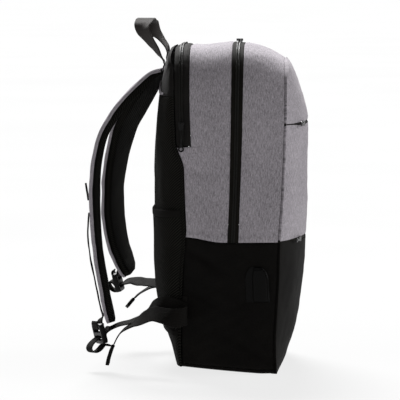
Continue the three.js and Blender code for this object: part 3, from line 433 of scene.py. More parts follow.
def faces_out(verts, faces):
    q = np.array([f if len(f) == 4 else (f[0], f[1], f[2], f[2]) for f in faces if len(f) <= 4])
    v = verts[q]
    volume = np.einsum("ij,ij->", v[:, 0], np.cross(v[:, 1], v[:, 2]))
    volume += np.einsum("ij,ij->", v[:, 0], np.cross(v[:, 2], v[:, 3]))
    return faces if volume > 0 else [f[::-1] for f in faces]


def link(name, data):
    obj = bpy.data.objects.new(name, data)
    bpy.context.scene.collection.objects.link(obj)
    return obj


def put_in(name, mesh, node, material, sharp):
    """Puts a mesh into the scene in the place of its solid."""
    mesh.shade_smooth()
    mesh.set_sharp_from_angle(angle=math.radians(sharp))
    mesh.materials.clear()
    mesh.materials.append(material)
    obj = link(name, mesh)
    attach(obj, "root")
    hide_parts(node)
    return obj


def make_object(name, verts, faces, uvs, node, material, sharp):
    mesh = bpy.data.meshes.new(name)
    mesh.from_pydata((verts * 0.001).tolist(), [], faces_out(verts, faces))
    layer = mesh.uv_layers.new(name="cloth")
    loops = np.empty(len(mesh.loops), np.int32)
    mesh.loops.foreach_get("vertex_index", loops)
    layer.data.foreach_set("uv", (uvs[loops] * 0.001).astype(np.float32).ravel())
    return put_in(name, mesh, node, material, sharp)


def shell(name, outer, inner, node, material, sharp=42):
    """One closed body from two matching grids of points."""
    rows, cols = outer.shape[:2]
    verts = np.concatenate([outer.reshape(-1, 3), inner.reshape(-1, 3)])
    far = rows * cols
    ids = np.arange(far).reshape(rows, cols)
    a, b, c, d = ids[:-1, :-1], ids[:-1, 1:], ids[1:, 1:], ids[1:, :-1]
    faces = np.stack([a, b, c, d], -1).reshape(-1, 4).tolist()
    faces += (np.stack([a, d, c, b], -1).reshape(-1, 4) + far).tolist()
    for line, turn in ((ids[:, 0], 1), (ids[:, -1], -1), (ids[0], -1), (ids[-1], 1)):
        p, q = line[:-1], line[1:]
        rim = np.stack([p, q, q + far, p + far], -1)
        faces += rim[:, ::turn].tolist()
    down, over = lengths(outer)
    down = np.broadcast_to(down.mean(1)[:, None], down.shape)
    uv = np.stack([over - over[:, cols // 2, None], down], -1).reshape(-1, 2)
    return make_object(name, verts, faces, np.concatenate([uv, uv]), node, material, sharp)


def spline(points, share):
    """Centripetal spline through the points, the share spread evenly over the spans."""
    points = np.asarray(points, float)
    t = np.clip(np.asarray(share, float), 0, 1) * (len(points) - 1)
    i = np.clip(np.floor(t).astype(int), 0, len(points) - 2)
    w = (t - i)[:, None]
    ext = np.concatenate([[2 * points[0] - points[1]], points, [2 * points[-1] - points[-2]]])
    p0, p1, p2, p3 = ext[i], ext[i + 1], ext[i + 2], ext[i + 3]
    d0 = ((p1 - p0) ** 2).sum(-1) ** 0.25
    d1 = ((p2 - p1) ** 2).sum(-1) ** 0.25
    d2 = ((p3 - p2) ** 2).sum(-1) ** 0.25
    d1 = np.where(d1 < 1e-4, 1.0, d1)
    d0 = np.where(d0 < 1e-4, d1, d0)[:, None]
    d2 = np.where(d2 < 1e-4, d1, d2)[:, None]
    d1 = d1[:, None]
    t1 = ((p1 - p0) / d0 - (p2 - p0) / (d0 + d1) + (p2 - p1) / d1) * d1
    t2 = ((p2 - p1) / d1 - (p3 - p1) / (d1 + d2) + (p3 - p2) / d2) * d1
    bend = -3 * p1 + 3 * p2 - 2 * t1 - t2
    twist = 2 * p1 - 2 * p2 + t1 + t2
    return p1 + t1 * w + bend * w * w + twist * w ** 3


def run_of(points):
    """Length along a row of points, from the first one to each."""
    return np.concatenate([[0], np.cumsum(np.linalg.norm(np.diff(points, axis=0), axis=1))])


def unit(v):
    return v / np.linalg.norm(v, axis=-1, keepdims=True)


def route_frame(rows, share):
    """Points, across, face and the wide and thick shares along a route."""
    data = np.array([tuple(r) + (1, 1) if len(r) == 6 else tuple(r) for r in rows], float)
    share = np.asarray(share, float)
    p = spline(data[:, :3], share)
    along = unit(spline(data[:, :3], share + 1e-4) - spline(data[:, :3], share - 1e-4))
    across = spline(data[:, 3:6], share)
    across = unit(across - along * (across * along).sum(1)[:, None])
    return p, across, np.cross(across, along), spline(data[:, 6:8], share)


def sweep(name, rows, steps, section, node, material, shape=None):
    """Sweeps a closed ring along a route. The ring may change on the way, and shape edits it."""
    share = np.linspace(0, 1, steps + 1)
    p, across, face, shares = route_frame(rows, share)
    rings = np.array([section(w, t) for w, t in shares])
    length = run_of(p)
    if shape:
        rings = shape(rings, length)
    points = p[:, None] + across[:, None] * rings[..., :1] + face[:, None] * rings[..., 1:2]
    n = points.shape[1]
    ids = np.arange((steps + 1) * n).reshape(steps + 1, n)
    nxt = np.roll(ids, -1, axis=1)
    faces = np.stack([ids[:-1], nxt[:-1], nxt[1:], ids[1:]], -1).reshape(-1, 4).tolist()
    verts = points.reshape(-1, 3)
    for ring in (ids[0][::-1], ids[-1]):
        middle = len(verts)
        verts = np.concatenate([verts, verts[ring].mean(0)[None]])
        faces += [[int(ring[k - 1]), int(ring[k]), middle] for k in range(n)]
    side = np.repeat(run_of(rings[steps // 2])[None], steps + 1, 0)
    uvs = np.stack([side, np.repeat(length[:, None], n, 1)], -1).reshape(-1, 2)
    uvs = np.concatenate([uvs, uvs[ids[0]].mean(0)[None], uvs[ids[-1]].mean(0)[None]])
    return make_object(name, verts, faces, uvs, node, material, 50)


def rounded(points, radius, steps):
    """A ring of points with its corners rounded, and its long sides split."""
    pts = np.array(points, float)
    n = len(pts)
    ends = []
    for i in range(n):
        a, b, c = pts[i - 1], pts[i], pts[(i + 1) % n]
        r = radius[i] if isinstance(radius, (list, tuple)) else radius
        la, lc = np.linalg.norm(a - b), np.linalg.norm(c - b)
        r = min(r, la * 0.49, lc * 0.49)
        f = np.linspace(0, 1, steps + 1)[:, None]
        p, q = b + (a - b) / la * r, b + (c - b) / lc * r
        ends.append((1 - f) ** 2 * p + 2 * f * (1 - f) * b + f * f * q)
    out = []
    for i in range(n):
        p, q = ends[i][-1], ends[(i + 1) % n][0]
        parts = 12 if np.linalg.norm(pts[(i + 1) % n] - pts[i]) > 12 else 1
        f = np.linspace(0, 1, parts + 1)[1:-1, None]
        out += [ends[i], p + (q - p) * f]
    return np.concatenate(out)


# Materials

class Nodes:
    """A short way to write a node tree of one material."""

    def __init__(self, name):
        self.mat = bpy.data.materials.new(name)
        self.mat.use_nodes = True
        self.tree = self.mat.node_tree
        self.shader = self.tree.nodes["Principled BSDF"]

    def put(self, node, key, value):
        """Sets a socket to a number or colour, or links another node's output to it."""
        if isinstance(value, bpy.types.NodeSocket):
            self.tree.links.new(value, node.inputs[key])
        else:
            node.inputs[key].default_value = value

    def add(self, kind, sockets=None, **settings):
        node = self.tree.nodes.new("ShaderNode" + kind)
        for key, value in settings.items():
            setattr(node, key, value)
        for key, value in (sockets or {}).items():
            self.put(node, key, value)
        return node

    def plus(self, a, b):
        return self.add("Math", {0: a, 1: b}, operation="ADD").outputs[0]

    def times(self, a, b):
        return self.add("Math", {0: a, 1: b}, operation="MULTIPLY").outputs[0]

    def ramp(self, source, stops):
        node = self.add("ValToRGB", {"Fac": source})
        ramp = node.color_ramp
        while len(ramp.elements) < len(stops):
            ramp.elements.new(0.5)
        for element, (at, colour) in zip(ramp.elements, stops):
            element.position, element.color = at, (*colour, 1)
        return node.outputs["Color"]

    def noise(self, coords, scale, detail, rough, seed):
        return self.add("TexNoise", {
            "Vector": coords, "Scale": scale, "Detail": detail, "Roughness": rough, "W": seed,
        }, noise_dimensions="4D").outputs["Fac"]

    def stretched(self, coords, size, turn=0.0):
        sockets = {"Vector": coords, "Scale": size, "Rotation": (0, 0, math.radians(turn))}
        return self.add("Mapping", sockets).outputs["Vector"]

    def wave(self, coords, scale, direction="X", turn=0.0):
        sockets = {"Vector": self.stretched(coords, (1, 1, 1), turn), "Scale": scale}
        node = self.add("TexWave", sockets, wave_type="BANDS", bands_direction=direction)
        return node.outputs["Fac"]

    def finish(self, colour, roughness, height=None, strength=0.3, distance=0.001, **even):
        sockets = {"Base Color": colour, "Roughness": roughness, **even}
        if height is not None:
            bump = self.add("Bump", {"Height": height, "Strength": strength, "Distance": distance})
            sockets["Normal"] = bump.outputs["Normal"]
        for key, value in sockets.items():
            self.put(self.shader, key, value)
        return self.mat


def uv_of(n):
    return n.add("TexCoord").outputs["UV"]


def place_of(n):
    return n.add("TexCoord").outputs["Object"]


def grey_cloth(name):
    """Heather grey: pale and dark yarns as short streaks along the cloth, over a fine weave."""
    n = Nodes(name)
    uv = uv_of(n)
    streaks = n.noise(n.stretched(uv, (1080, 115, 1), 4), 1.0, 3.0, 0.65, 3.0)
    slubs = n.noise(n.stretched(uv, (1700, 360, 1), -6), 1.0, 1.0, 0.5, 8.0)
    cloudy = n.noise(place_of(n), 14.0, 2.0, 0.5, 1.0)
    mixed = n.plus(n.times(streaks, 0.62), n.times(slubs, 0.38))
    mixed = n.plus(mixed, n.times(n.plus(cloudy, -0.5), 0.12))
    dark, light = (0.122, 0.113, 0.123), (0.383, 0.356, 0.386)
    middle = tuple((a + b) / 2 for a, b in zip(dark, light))
    colour = n.ramp(mixed, [(0.38, dark), (0.5, middle), (0.62, light)])
    weave = n.times(n.wave(uv, 170.0), n.wave(uv, 170.0, "Y"))
    height = n.plus(n.times(weave, 0.5), slubs)
    return n.finish(colour, 0.88, height, 0.35, 0.0004, **{
        "Specular IOR Level": 0.15, "Sheen Weight": 0.04, "Sheen Roughness": 0.5,
    })


def black_cloth(name, colour=(0.0022, 0.002, 0.0018), light=(0.0062, 0.0055, 0.0048), sheen=0.03):
    n = Nodes(name)
    uv = uv_of(n)
    yarn = n.noise(n.stretched(uv, (700, 700, 1)), 1.0, 1.0, 0.5, 5.0)
    worn = n.noise(place_of(n), 22.0, 3.0, 0.55, 2.0)
    mixed = n.plus(n.times(yarn, 0.5), n.times(worn, 0.5))
    tint = n.ramp(mixed, [(0.35, colour), (0.7, light)])
    weave = n.times(n.wave(uv, 210.0), n.wave(uv, 210.0, "Y"))
    height = n.plus(weave, n.times(yarn, 0.6))
    return n.finish(tint, 0.82, height, 0.4, 0.0003, **{
        "Specular IOR Level": 0.06, "Sheen Weight": sheen, "Sheen Roughness": 0.35,
    })


def mesh_cloth(name):
    """Spacer mesh: slanting ribs with small holes between them."""
    n = Nodes(name)
    uv = uv_of(n)
    ribs = n.wave(uv, 112.0, "X", -52.0)
    holes = n.add("TexVoronoi", {"Vector": n.stretched(uv, (620, 620, 1))}).outputs["Distance"]
    mixed = n.times(ribs, n.plus(n.times(holes, 0.5), 0.5))
    colour = n.ramp(mixed, [(0.24, (0.0005, 0.0005, 0.0004)), (0.7, (0.018, 0.0172, 0.0146))])
    height = n.plus(ribs, n.times(holes, 0.5))
    return n.finish(colour, 0.9, height, 0.6, 0.0008, **{"Specular IOR Level": 0.06})


def webbing_cloth(name, low, high, sheen):
    """Woven tape: ribs along it, broken by the picks across it."""
    n = Nodes(name)
    uv = uv_of(n)
    ribs = n.wave(uv, 150.0)
    picks = n.wave(uv, 190.0, "Y")
    fuzz = n.noise(n.stretched(uv, (500, 900, 1)), 1.0, 2.0, 0.5, 4.0)
    mixed = n.times(n.plus(ribs, 0.3), n.plus(picks, 0.5))
    mixed = n.times(n.plus(mixed, fuzz), 0.42)
    colour = n.ramp(mixed, [(0.15, low), (0.8, high)])
    return n.finish(colour, 0.78, mixed, 0.5, 0.0005, **{
        "Specular IOR Level": 0.04, "Sheen Weight": sheen, "Sheen Roughness": 0.4,
    })


def moulded(name, colour, rough, level):
    n = Nodes(name)
    coords = place_of(n)
    fine = n.noise(coords, 900.0, 2.0, 0.5, 1.0)
    broad = n.noise(coords, 900.0 / 14, 2.0, 0.5, 6.0)
    dark, light = tuple(c * 0.8 for c in colour), tuple(c * 1.25 for c in colour)
    tint = n.ramp(broad, [(0.3, dark), (0.7, light)])
    rough_map = n.plus(n.times(broad, 0.16), rough - 0.08)
    return n.finish(tint, rough_map, fine, 0.2, 0.0002, **{"Specular IOR Level": level})


def lacquered(name, level):
    n = Nodes(name)
    coords = place_of(n)
    worn = n.noise(coords, 420.0, 3.0, 0.6, 1.0)
    tint = n.ramp(worn, [(0.35, (0.004, 0.004, 0.004)), (0.7, (0.016, 0.0157, 0.0155))])
    rough_map = n.plus(n.times(worn, 0.2), 0.22)
    return n.finish(tint, rough_map, worn, 0.1, 0.0002, **{"Specular IOR Level": level})


GREY = grey_cloth("heather_grey")
STRAP_GREY = grey_cloth("strap_grey")
BLACK = black_cloth("black_cloth")
# A brighter copy of the black cloth for the yoke and the laptop zip band: painted light, standing
# for the top light on them
TOP_LIT_BLACK = black_cloth("top_lit_black_cloth", (0.006, 0.0056, 0.0052), (0.017, 0.0158, 0.015), 0.08)
TAPE = black_cloth("zip_tape", (0.0045, 0.004, 0.0032), (0.011, 0.0098, 0.008))
COIL = moulded("coil_nylon", (0.006, 0.0057, 0.0047), 0.5, 0.12)
MESH = mesh_cloth("spacer_mesh")
WEBBING = webbing_cloth("webbing", (0.0022, 0.0021, 0.0018), (0.0098, 0.009, 0.0082), 0.0)
HANDLE = webbing_cloth("handle_webbing", (0.012, 0.011, 0.0104), (0.044, 0.0392, 0.037), 0.12)
PLASTIC = moulded("buckle_plastic", (0.0035, 0.0035, 0.0034), 0.42, 0.14)
RUBBER = moulded("port_rubber", (0.0015, 0.0014, 0.0013), 0.5, 0.08)
METAL = lacquered("zip_metal", 0.3)
DULL_METAL = lacquered("dull_metal", 0.08)


# Body

def squeezed(a, b, count, power):
    """Numbers from a to b, closer together near both ends."""
    f = np.linspace(-1, 1, count + 1)
    return a + (b - a) * (np.sign(f) * (1 - (1 - np.abs(f)) ** power) + 1) / 2


# The v that a strip over the bag starts from, stretched down to the line of the black cloth
LOWEST = -0.34
# The laptop zip's band ends here, and the rear gusset steps back below it
BAND_FOOT, STEP_AT, STEP_ROWS = 0.2715, 0.265, (0.262, 0.268)
TOOTH_PITCH, TEETH_OVER = 2.0, 330
# Behind the side cloth the edge of a front panel lies so far back, in and down
TUCK, TUCK_IN, TUCK_DOWN = 4.5, 0.972, 0.985


def hoop(climb, front, rear, count, top=56):
    """A strip over the bag, from the left foot over the top to the right foot."""
    cross = squeezed(-1, 1, top, 1.6)[1:-1]
    us = np.concatenate([-np.ones(len(climb)), cross, np.ones(len(climb))])
    vs = np.concatenate([climb, np.ones(len(cross)), climb[::-1]])
    su, sv = squircle(us, vs)
    at = level_of(sv)
    share = squeezed(0, 1, count, 1.5)
    y = lerp(front(at)[:, None], rear(at)[:, None], share)
    foot = up_to(line_at(y) + GAP, BAG_HEIGHT)
    sv = np.where(sv[:, None] < 0, foot * sv[:, None] / LOWEST, sv[:, None])
    return skin(su[:, None], sv, y)


def rise(foot, count, marks=()):
    base = squeezed(foot, 1, count, 1.3)
    return np.unique(np.concatenate([base, np.array(marks, float)]))


def gussets():
    climb = rise(LOWEST, 70)
    grid = hoop(climb, seam_front, lambda at: strip_edge(ZIP_FRONT)(at) - ZIP_GAP, 26)
    outer, inner = sewn(grid, WALL, 0.55, 11, roll=0.35, pucker=0.12)
    shell("front_gusset_cloth", outer, inner, "front_gusset", GREY)
    climb = rise(LOWEST, 70, STEP_ROWS)
    step = level_of(STEP_AT)

    def rear(at):
        return np.where(at < step, seam_rear(at), strip_edge(BAND_FRONT)(at) - ZIP_GAP)

    grid = hoop(climb, lambda at: strip_edge(ZIP_REAR)(at) + ZIP_GAP, rear, 28)
    outer, inner = sewn(grid, WALL, 0.6, 12)
    shell("rear_gusset_cloth", outer, inner, "rear_gusset", GREY)


def coil(name, climb, middle, lift, node):
    """Two rows of teeth that meet in the middle of the tape."""
    grid = hoop(climb, lambda at: middle(at) - COIL_WIDTH / 2,
                lambda at: middle(at) + COIL_WIDTH / 2, 10, TEETH_OVER)
    n = grid_normals(grid)
    length = run_of(grid[:, 5])
    across = np.linspace(-1, 1, grid.shape[1])
    phase = length[:, None] * 2 * math.pi / TOOTH_PITCH + np.where(across < 0, 0, math.pi)
    tooth = 0.5 + 0.5 * np.sin(phase)
    ridge = (1 - (2 * np.abs(across) - 1.05) ** 2).clip(0, 1) ** 0.5
    high = lift + GAP + COIL_THICK * (0.25 + ridge * (0.5 + 0.45 * tooth))
    shell(name, grid + n * high[..., None], grid + n * (lift + GAP), node, COIL, 60)


# The main zip lies so far below the cloth beside it
SUNK = 0.5


def zips():
    # Steps up the side so fine that single teeth of a coil show
    fine, short = np.linspace(LOWEST, 1, 620), np.linspace(BAND_FOOT, 1, 260)
    front, rear = strip_edge(ZIP_FRONT), strip_edge(ZIP_REAR)
    grid = hoop(rise(LOWEST, 80), front, rear, 12)
    n = grid_normals(grid)
    wave = 0.25 * noise_field(21, 20.0)(grid)
    outer, inner = grid + n * (wave - SUNK)[..., None], grid - n * (SUNK + TAPE_THICK)
    shell("main_zip_cloth", outer, inner, "main_zip_tape", TAPE)
    coil("main_zip_teeth", fine, lambda at: (front(at) + rear(at)) / 2, -SUNK, "main_zip_coil")
    band = strip_edge(BAND_FRONT)
    grid = hoop(rise(BAND_FOOT, 50), band, seam_rear, 14)
    outer, inner = sewn(grid - grid_normals(grid) * 0.3, WALL, 0.3, 22)
    shell("laptop_band_cloth", outer, inner, "laptop_zip_band", TOP_LIT_BLACK)
    coil("laptop_zip_teeth", short, lambda at: lerp(band(at), seam_rear(at), 0.55), 0.0,
         "laptop_zip_coil")


def front_panel(foot, head, rows, lift, thick):
    """Faces of a front panel. The inner one is tucked in behind the side cloth as a seam is."""
    u = squeezed(-1, 1, 72, 1.6)[None, :]
    low, high = up_to(foot(u), FRONT_TOP), np.minimum(up_to(head(u), FRONT_TOP), 1)
    v = lerp(low, high, squeezed(0, 1, rows, 1.5)[:, None])
    tuck = smooth(np.maximum(np.abs(u), v), 0.9, 1)
    inner = front_point(u * TUCK_IN, np.where(v > 0, v * TUCK_DOWN, v), lift - thick)
    inner[..., 1] += TUCK * tuck
    return front_point(u, v, lift), inner


def fronts():
    half = FRONT_TAPE / 2

    def level(height):
        return lambda u: np.full_like(u, height)

    def slit(height, side):
        """Edge of a panel beside a zip, close to it near its ends."""
        return lambda u: height + side * lerp(half + GAP, 0.9, smooth(np.abs(u), 0.6, 0.95))

    spans = (
        ("front_panel_upper", slit(POCKET_ZIP, 1), level(FRONT_TOP), 36, GREY, "grey_cloth", 31),
        ("front_pocket_panel", slit(BASE_ZIP, 1), slit(POCKET_ZIP, -1), 52, GREY, "grey_cloth", 32),
        ("front_base_panel", level(0), slit(BASE_ZIP, -1), 60, BLACK, "black_cloth", 33),
    )
    for node, foot, head, rows, material, slot, seed in spans:
        face, inner = front_panel(foot, head, rows, WALL, WALL)
        outer, _ = sewn(face, WALL, 0.6, seed, roll=0.25, pucker=0.12)
        outer[..., 2] = np.maximum(outer[..., 2], 0)
        inner[..., 2] = np.maximum(inner[..., 2], 0)
        shell(node + "_cloth", outer, inner, node, material)
    for name, middle, seed in (("pocket", POCKET_ZIP, 34), ("base", BASE_ZIP, 35)):
        outer, inner = front_panel(level(middle - half), level(middle + half), 8, WALL - 1.2,
                                   TAPE_THICK)
        outer[..., 1] += 0.2 * noise_field(seed, 9.0)(outer)
        node = name + "_zip_tape"
        shell(node + "_cloth", outer, inner, node, TAPE)


def sides():
    for side, name, seed in ((-1, "left", 41), (1, "right", 42)):
        share = squeezed(0, 1, 60, 1.4)[None, :]
        step = squeezed(0, 1, 76, 1.3)[:, None]
        foot = up_to(RIM_HEIGHT + WALL + GAP, BAG_HEIGHT)
        at = level_of(lerp(foot, -0.31, step))
        y = lerp(seam_front(at), seam_rear(at), share)
        head = up_to(line_at(y) - GAP, BAG_HEIGHT)
        grid = skin(side, lerp(foot, head, step), y)
        outer, inner = sewn(grid, WALL, 0.85, seed, roll=1.2, pucker=0.45, grain=38.0)
        node = "side_panel_" + name
        shell(node + "_cloth", outer, inner, node, BLACK)


def base():
    u = squeezed(-1, 1, 60, 1.8)[None, :]
    share = np.linspace(0, 1, 31)[:, None]
    turn = np.maximum(0, (np.abs(u) - 0.94) / 0.06)
    at = RIM_HEIGHT * turn ** 2 / BAG_HEIGHT
    crown = FRONT_SWELL * LEVELS[0, CROWN] - WALL - GAP
    front = seam_front(at) - crown * (1 - np.abs(u) ** 2.5) + GAP
    back = seam_rear(at) + pad_profile(u) * back_rise(0) * (1 - PAD_SHARE) + RIM_GAP - GAP
    grid = skin(u, -1 + at * BAG_HEIGHT / SHOULDER, lerp(front, back, share))
    up = np.array([0, 0, 1.0])
    shell("base_cloth", grid, grid + up * WALL, "base_panel", BLACK)


# Back

# The grey patch at a strap's root: its inner and outer end (shares of the width) and its top
ROOT_IN, ROOT_OUT, ROOT_TOP, ROOT_CLOTH = 0.36, 0.85, 386, 1.5
# The port cover: half width, place, foot, head and lean, and where its lid ends and its rim lies
PORT_HALF, PORT_Y, PORT_FOOT, PORT_HEAD, PORT_LEAN = 15.5, -39.5, 96, 143, 2
LID_END, LID_HIGH, RIM_HIGH, HEM_IN = 0.4, 2.2, 0.9, 3.0


def back_grid(vs, us, share, edge):
    return back_point(us[None, :], vs[:, None], share, edge)


def padding():
    seam, gap = up_to(YOKE, BACK_TOP), GAP / BAG_HEIGHT
    us = squeezed(-1, 1, 96, 2.2)
    spans = (
        ("back_pad", squeezed(-1, seam - gap, 120, 1.8), MESH, "mesh_padding", 51, 0.9),
        ("back_yoke", squeezed(seam + gap, 1, 40, 1.4), TOP_LIT_BLACK, "black_cloth", 52, 0.5),
    )
    for node, vs, material, slot, seed, crumple in spans:
        face = back_grid(vs, us, 1, PAD_EDGE)
        outer, _ = sewn(face, PAD_EDGE + 2, crumple, seed, roll=1.2, grain=60.0)
        inner = back_grid(vs, us, 1 - PAD_SHARE, 0)
        outer[..., 2] = np.maximum(outer[..., 2], 0)
        piece = shell(node + "_soft", outer, inner, node, material)


def on_back(us, foot, head, rows):
    height = lerp(foot(us)[None, :], head(us)[None, :], squeezed(0, 1, rows, 1.4)[:, None])
    return back_point(us[None, :], up_to(height, BACK_TOP), 1, PAD_EDGE)


def sleeve():
    us = squeezed(-0.998, 0.998, 110, 2.2)
    sink = 0.3 + 0.7 * (1 - smooth(np.abs(us), 0.95, 0.998))

    def head(u):
        return SLEEVE_TOP + SLEEVE_TOP_RISE * u * u

    def foot(u):
        return SLEEVE_FOOT - SLEEVE_FOOT_SAG * u * u

    grid = on_back(us, lambda u: foot(u) + HEM + GAP, lambda u: head(u) - HEM - GAP, 60)
    n = grid_normals(grid)
    lift = SLEEVE_STAND_OFF + SLEEVE_THICK
    wave = 0.35 * noise_field(61, 50.0)(grid)
    outer = grid + n * ((lift + wave) * sink)[..., None]
    inner = outer - n * (SLEEVE_THICK * 0.6)
    panel = shell("trolley_sleeve_cloth", outer, inner, "trolley_sleeve", MESH)
    for node, low, high, extra, thick, seed in (
        ("sleeve_top_hem", lambda u: head(u) - HEM, head, 0.6, 2.4, 62),
        ("sleeve_bottom_hem", foot, lambda u: foot(u) + HEM, 0.3, 2.0, 63),
    ):
        grid = on_back(us, low, high, 14)
        n = grid_normals(grid)
        wave = 0.25 * noise_field(seed, 34.0)(grid)
        edge = smooth(edge_distance(grid, "tb"), 0, 2.2)
        high_face = lift + extra + wave - 0.9 * (1 - edge)
        outer = grid + n * (high_face * sink)[..., None]
        inner = outer - n * (thick * 0.6)
        shell(node + "_cloth", outer, inner, node, WEBBING)


def root_patches():
    for side, name, seed in ((-1, "left", 71), (1, "right", 72)):
        us = np.linspace(ROOT_IN, ROOT_OUT, 40) * side

        def head(u):
            return lerp(ROOT_TOP, YOKE + 5, (np.abs(u) - ROOT_IN) / (ROOT_OUT - ROOT_IN))

        grid = on_back(us, lambda u: np.full_like(u, YOKE + 2), head, 16)
        grid += grid_normals(grid) * (GAP + ROOT_CLOTH)
        outer, inner = sewn(grid, ROOT_CLOTH, 0.2, seed, roll=0.5, pucker=0.1)
        node = "strap_root_" + name
        shell(node + "_cloth", outer, inner, node, STRAP_GREY)


def port_cover():
    """Rubber lid over the charging port, puffed out in its middle."""
    up = np.linspace(0, 1, 60)[:, None]
    over = np.linspace(-1, 1, 50)[None, :]
    round_off = np.sqrt(np.maximum(1 - ((up - 0.6) / 0.45) ** 2, 0.01))
    wide = PORT_HALF * np.where(up < 0.6, 1, round_off)
    y = PORT_Y + wide * over + PORT_LEAN * up
    grid = skin(-1, up_to(np.broadcast_to(lerp(PORT_FOOT, PORT_HEAD, up), y.shape), BAG_HEIGHT), y)
    n = grid_normals(grid)
    side = (over + 1) / 2
    puff = np.sin(math.pi * np.minimum(side * 1.35, 1)) * (1 - up) * 1.6
    hinge = smooth(over, LID_END - 0.04, LID_END + 0.04)
    edge = smooth(edge_distance(grid, "tbl"), 0, 1.6) * (1 - hinge)
    lip = 0.9 * np.exp(-((edge_distance(grid, "bl") - HEM_IN) / 0.7) ** 2) * edge
    high = RIM_HIGH + LID_HIGH * edge + puff * edge - lip
    shell("usb_cover_rubber", grid + n * high[..., None], grid + n * (GAP + 0.3), "usb_cover",
          RUBBER)


# Straps and webbing

# Heights over the strap of the tab and of the webbing, from their upper end down
TAB_LIFTS, TAB_WIDTH, TAB_THICK = (5.4, 4, 2.6, 1.6), 20, 2
WEBBING_LIFTS = (1, 3.4, 4.4, 4.2, 3.8, 3.2, 2.6, 2.2, 2, 2)
END_THICK, HANDLE_WIDTH = 4.6, 24
ANCHOR_FOOT, ANCHOR_HEAD, ANCHOR_FRONT, ANCHOR_REAR = 70, 100, 54, 60.3


def pad_ring(wide, thick):
    half = STRAP_WIDTH / 2 * wide
    top = -(COVER_THICK + COVER_GAP)
    foot = top - STRAP_PAD * thick
    soft = STRAP_PAD * thick
    return rounded([(-half, top), (half, top), (half, foot), (-half, foot)],
                   [1.0, 1.0, soft * 0.75, soft * 0.75], 6)


def cover_ring(wide, thick):
    half = STRAP_WIDTH / 2 * wide
    out, inside = half + COVER_GAP + COVER_THICK, half + COVER_GAP
    foot = -(COVER_THICK + COVER_GAP + COVER_WRAP * thick)
    ring = [
        (-out, 0), (out, 0), (out, foot), (inside, foot),
        (inside, -COVER_THICK), (-inside, -COVER_THICK), (-inside, foot), (-out, foot),
    ]
    return rounded(ring, [2.4, 2.4, 0.7, 0.7, 0.8, 0.8, 0.7, 0.7], 4)


def tape_ring(width, thick):
    x, y = width / 2, thick / 2
    ring = rounded([(-x, y), (x, y), (x, y - thick), (-x, y - thick)], thick * 0.45, 3)
    return lambda wide, thickness: ring


def on_strap(rows, lifts, start, end):
    p, across, face, _ = route_frame(rows, np.linspace(start, end, len(lifts)))
    p = p + face * np.array(lifts)[:, None]
    return [(*a, *b) for a, b in zip(p.tolist(), across.tolist())]


def buckle_frame(side):
    """The middle of a buckle and its directions: across it, up it and out of its face."""
    middle, up, across = np.array(BUCKLES[side], float)
    up = unit(up)
    across = unit(across - up * (across @ up))
    return middle, across, up, np.cross(across, up)


def at_buckle(side, rows):
    middle, across, up, face = buckle_frame(side)
    return [(*(middle - face * out + up * high), *across) for out, high in rows]


def laid_out(across, out, length):
    """Places of a sweep's rings for a noise field, as if the route were straight."""
    return np.stack([across, out, np.repeat(length[:, None], across.shape[1], 1)], -1)


def soften(seed, amount):
    """Small waves of a padded ring along its route."""
    waves = noise_field(seed, 38.0, 7)

    def shape(rings, length):
        points = laid_out(rings[..., 0], rings[..., 1], length)
        middle = rings.mean(1, keepdims=True)
        out = unit(rings - middle)
        moved = rings + out * (amount * waves(points))[..., None]
        moved[..., 1] = np.where(rings[..., 1] > rings[..., 1].min(1)[:, None] * 0.45,
                                 rings[..., 1], moved[..., 1])
        return moved

    return shape


def cover_creases(seed):
    """The grey cover lies in shallow waves over the padding, with a sunk seam near each edge."""
    waves = noise_field(seed, 30.0, 8)

    def shape(rings, length):
        x, y = rings[..., 0], rings[..., 1]
        half = np.abs(x).max(1)[:, None]
        points = laid_out(x, 0 * y, length)
        top = y > -0.9
        seam = 0.55 * np.exp(-((np.abs(x) - (half - 6)) / 0.9) ** 2)
        rings = rings.copy()
        rings[..., 1] = np.where(top, y + 0.35 * waves(points) - 0.3 - seam, y)
        return rings

    return shape


def tape_shape(seed, amount):
    waves = noise_field(seed, 16.0, 6)

    def shape(rings, length):
        points = laid_out(rings[..., 0] * 0.3, 0 * rings[..., 0], length)
        rings = rings.copy()
        rings[..., 1] += amount * waves(points)
        return rings

    return shape


def straps():
    lifts = [WEBBING_LIFT + WEBBING_THICK / 2 + k - 1 for k in WEBBING_LIFTS]
    tape = tape_ring(WEBBING_WIDTH, WEBBING_THICK)
    end, tab = tape_ring(WEBBING_WIDTH, END_THICK), tape_ring(TAB_WIDTH, TAB_THICK)
    for number, side in enumerate(("left", "right")):
        route, seed = STRAP_ROUTES[side], 80 + number * 7
        pad = sweep(f"strap_pad_{side}_soft", route, 190, pad_ring, f"strap_pad_{side}",
                    MESH, soften(seed, 0.5))
        sweep(f"strap_cover_{side}_cloth", route, 190, cover_ring, f"strap_cover_{side}",
              STRAP_GREY, cover_creases(seed + 1))
        flat = on_strap(route, TAB_LIFTS, 0.48, 0.53)
        sweep(f"strap_tab_{side}_cloth", flat, 24, tab, f"strap_tab_{side}", BLACK)
        upper = on_strap(route, lifts, 0.56, 0.9) + at_buckle(side, STUB_LOOP)
        sweep(f"strap_webbing_{side}_tape", upper, 170, tape, f"strap_webbing_{side}",
              WEBBING, tape_shape(seed + 2, 0.22))
        lower = at_buckle(side, SLACK_LOOPS[side]) + LOWER_ROUTES[side]
        sweep(f"lower_webbing_{side}_tape", lower, 300, tape, f"lower_webbing_{side}",
              WEBBING, tape_shape(seed + 3, 0.15))
        sweep(f"webbing_end_{side}_tape", TAIL_ROUTES[side], 40, end, f"webbing_end_{side}",
              WEBBING, tape_shape(seed + 4, 0.2))
        anchor("webbing_anchor_" + side, -1 if side == "left" else 1)


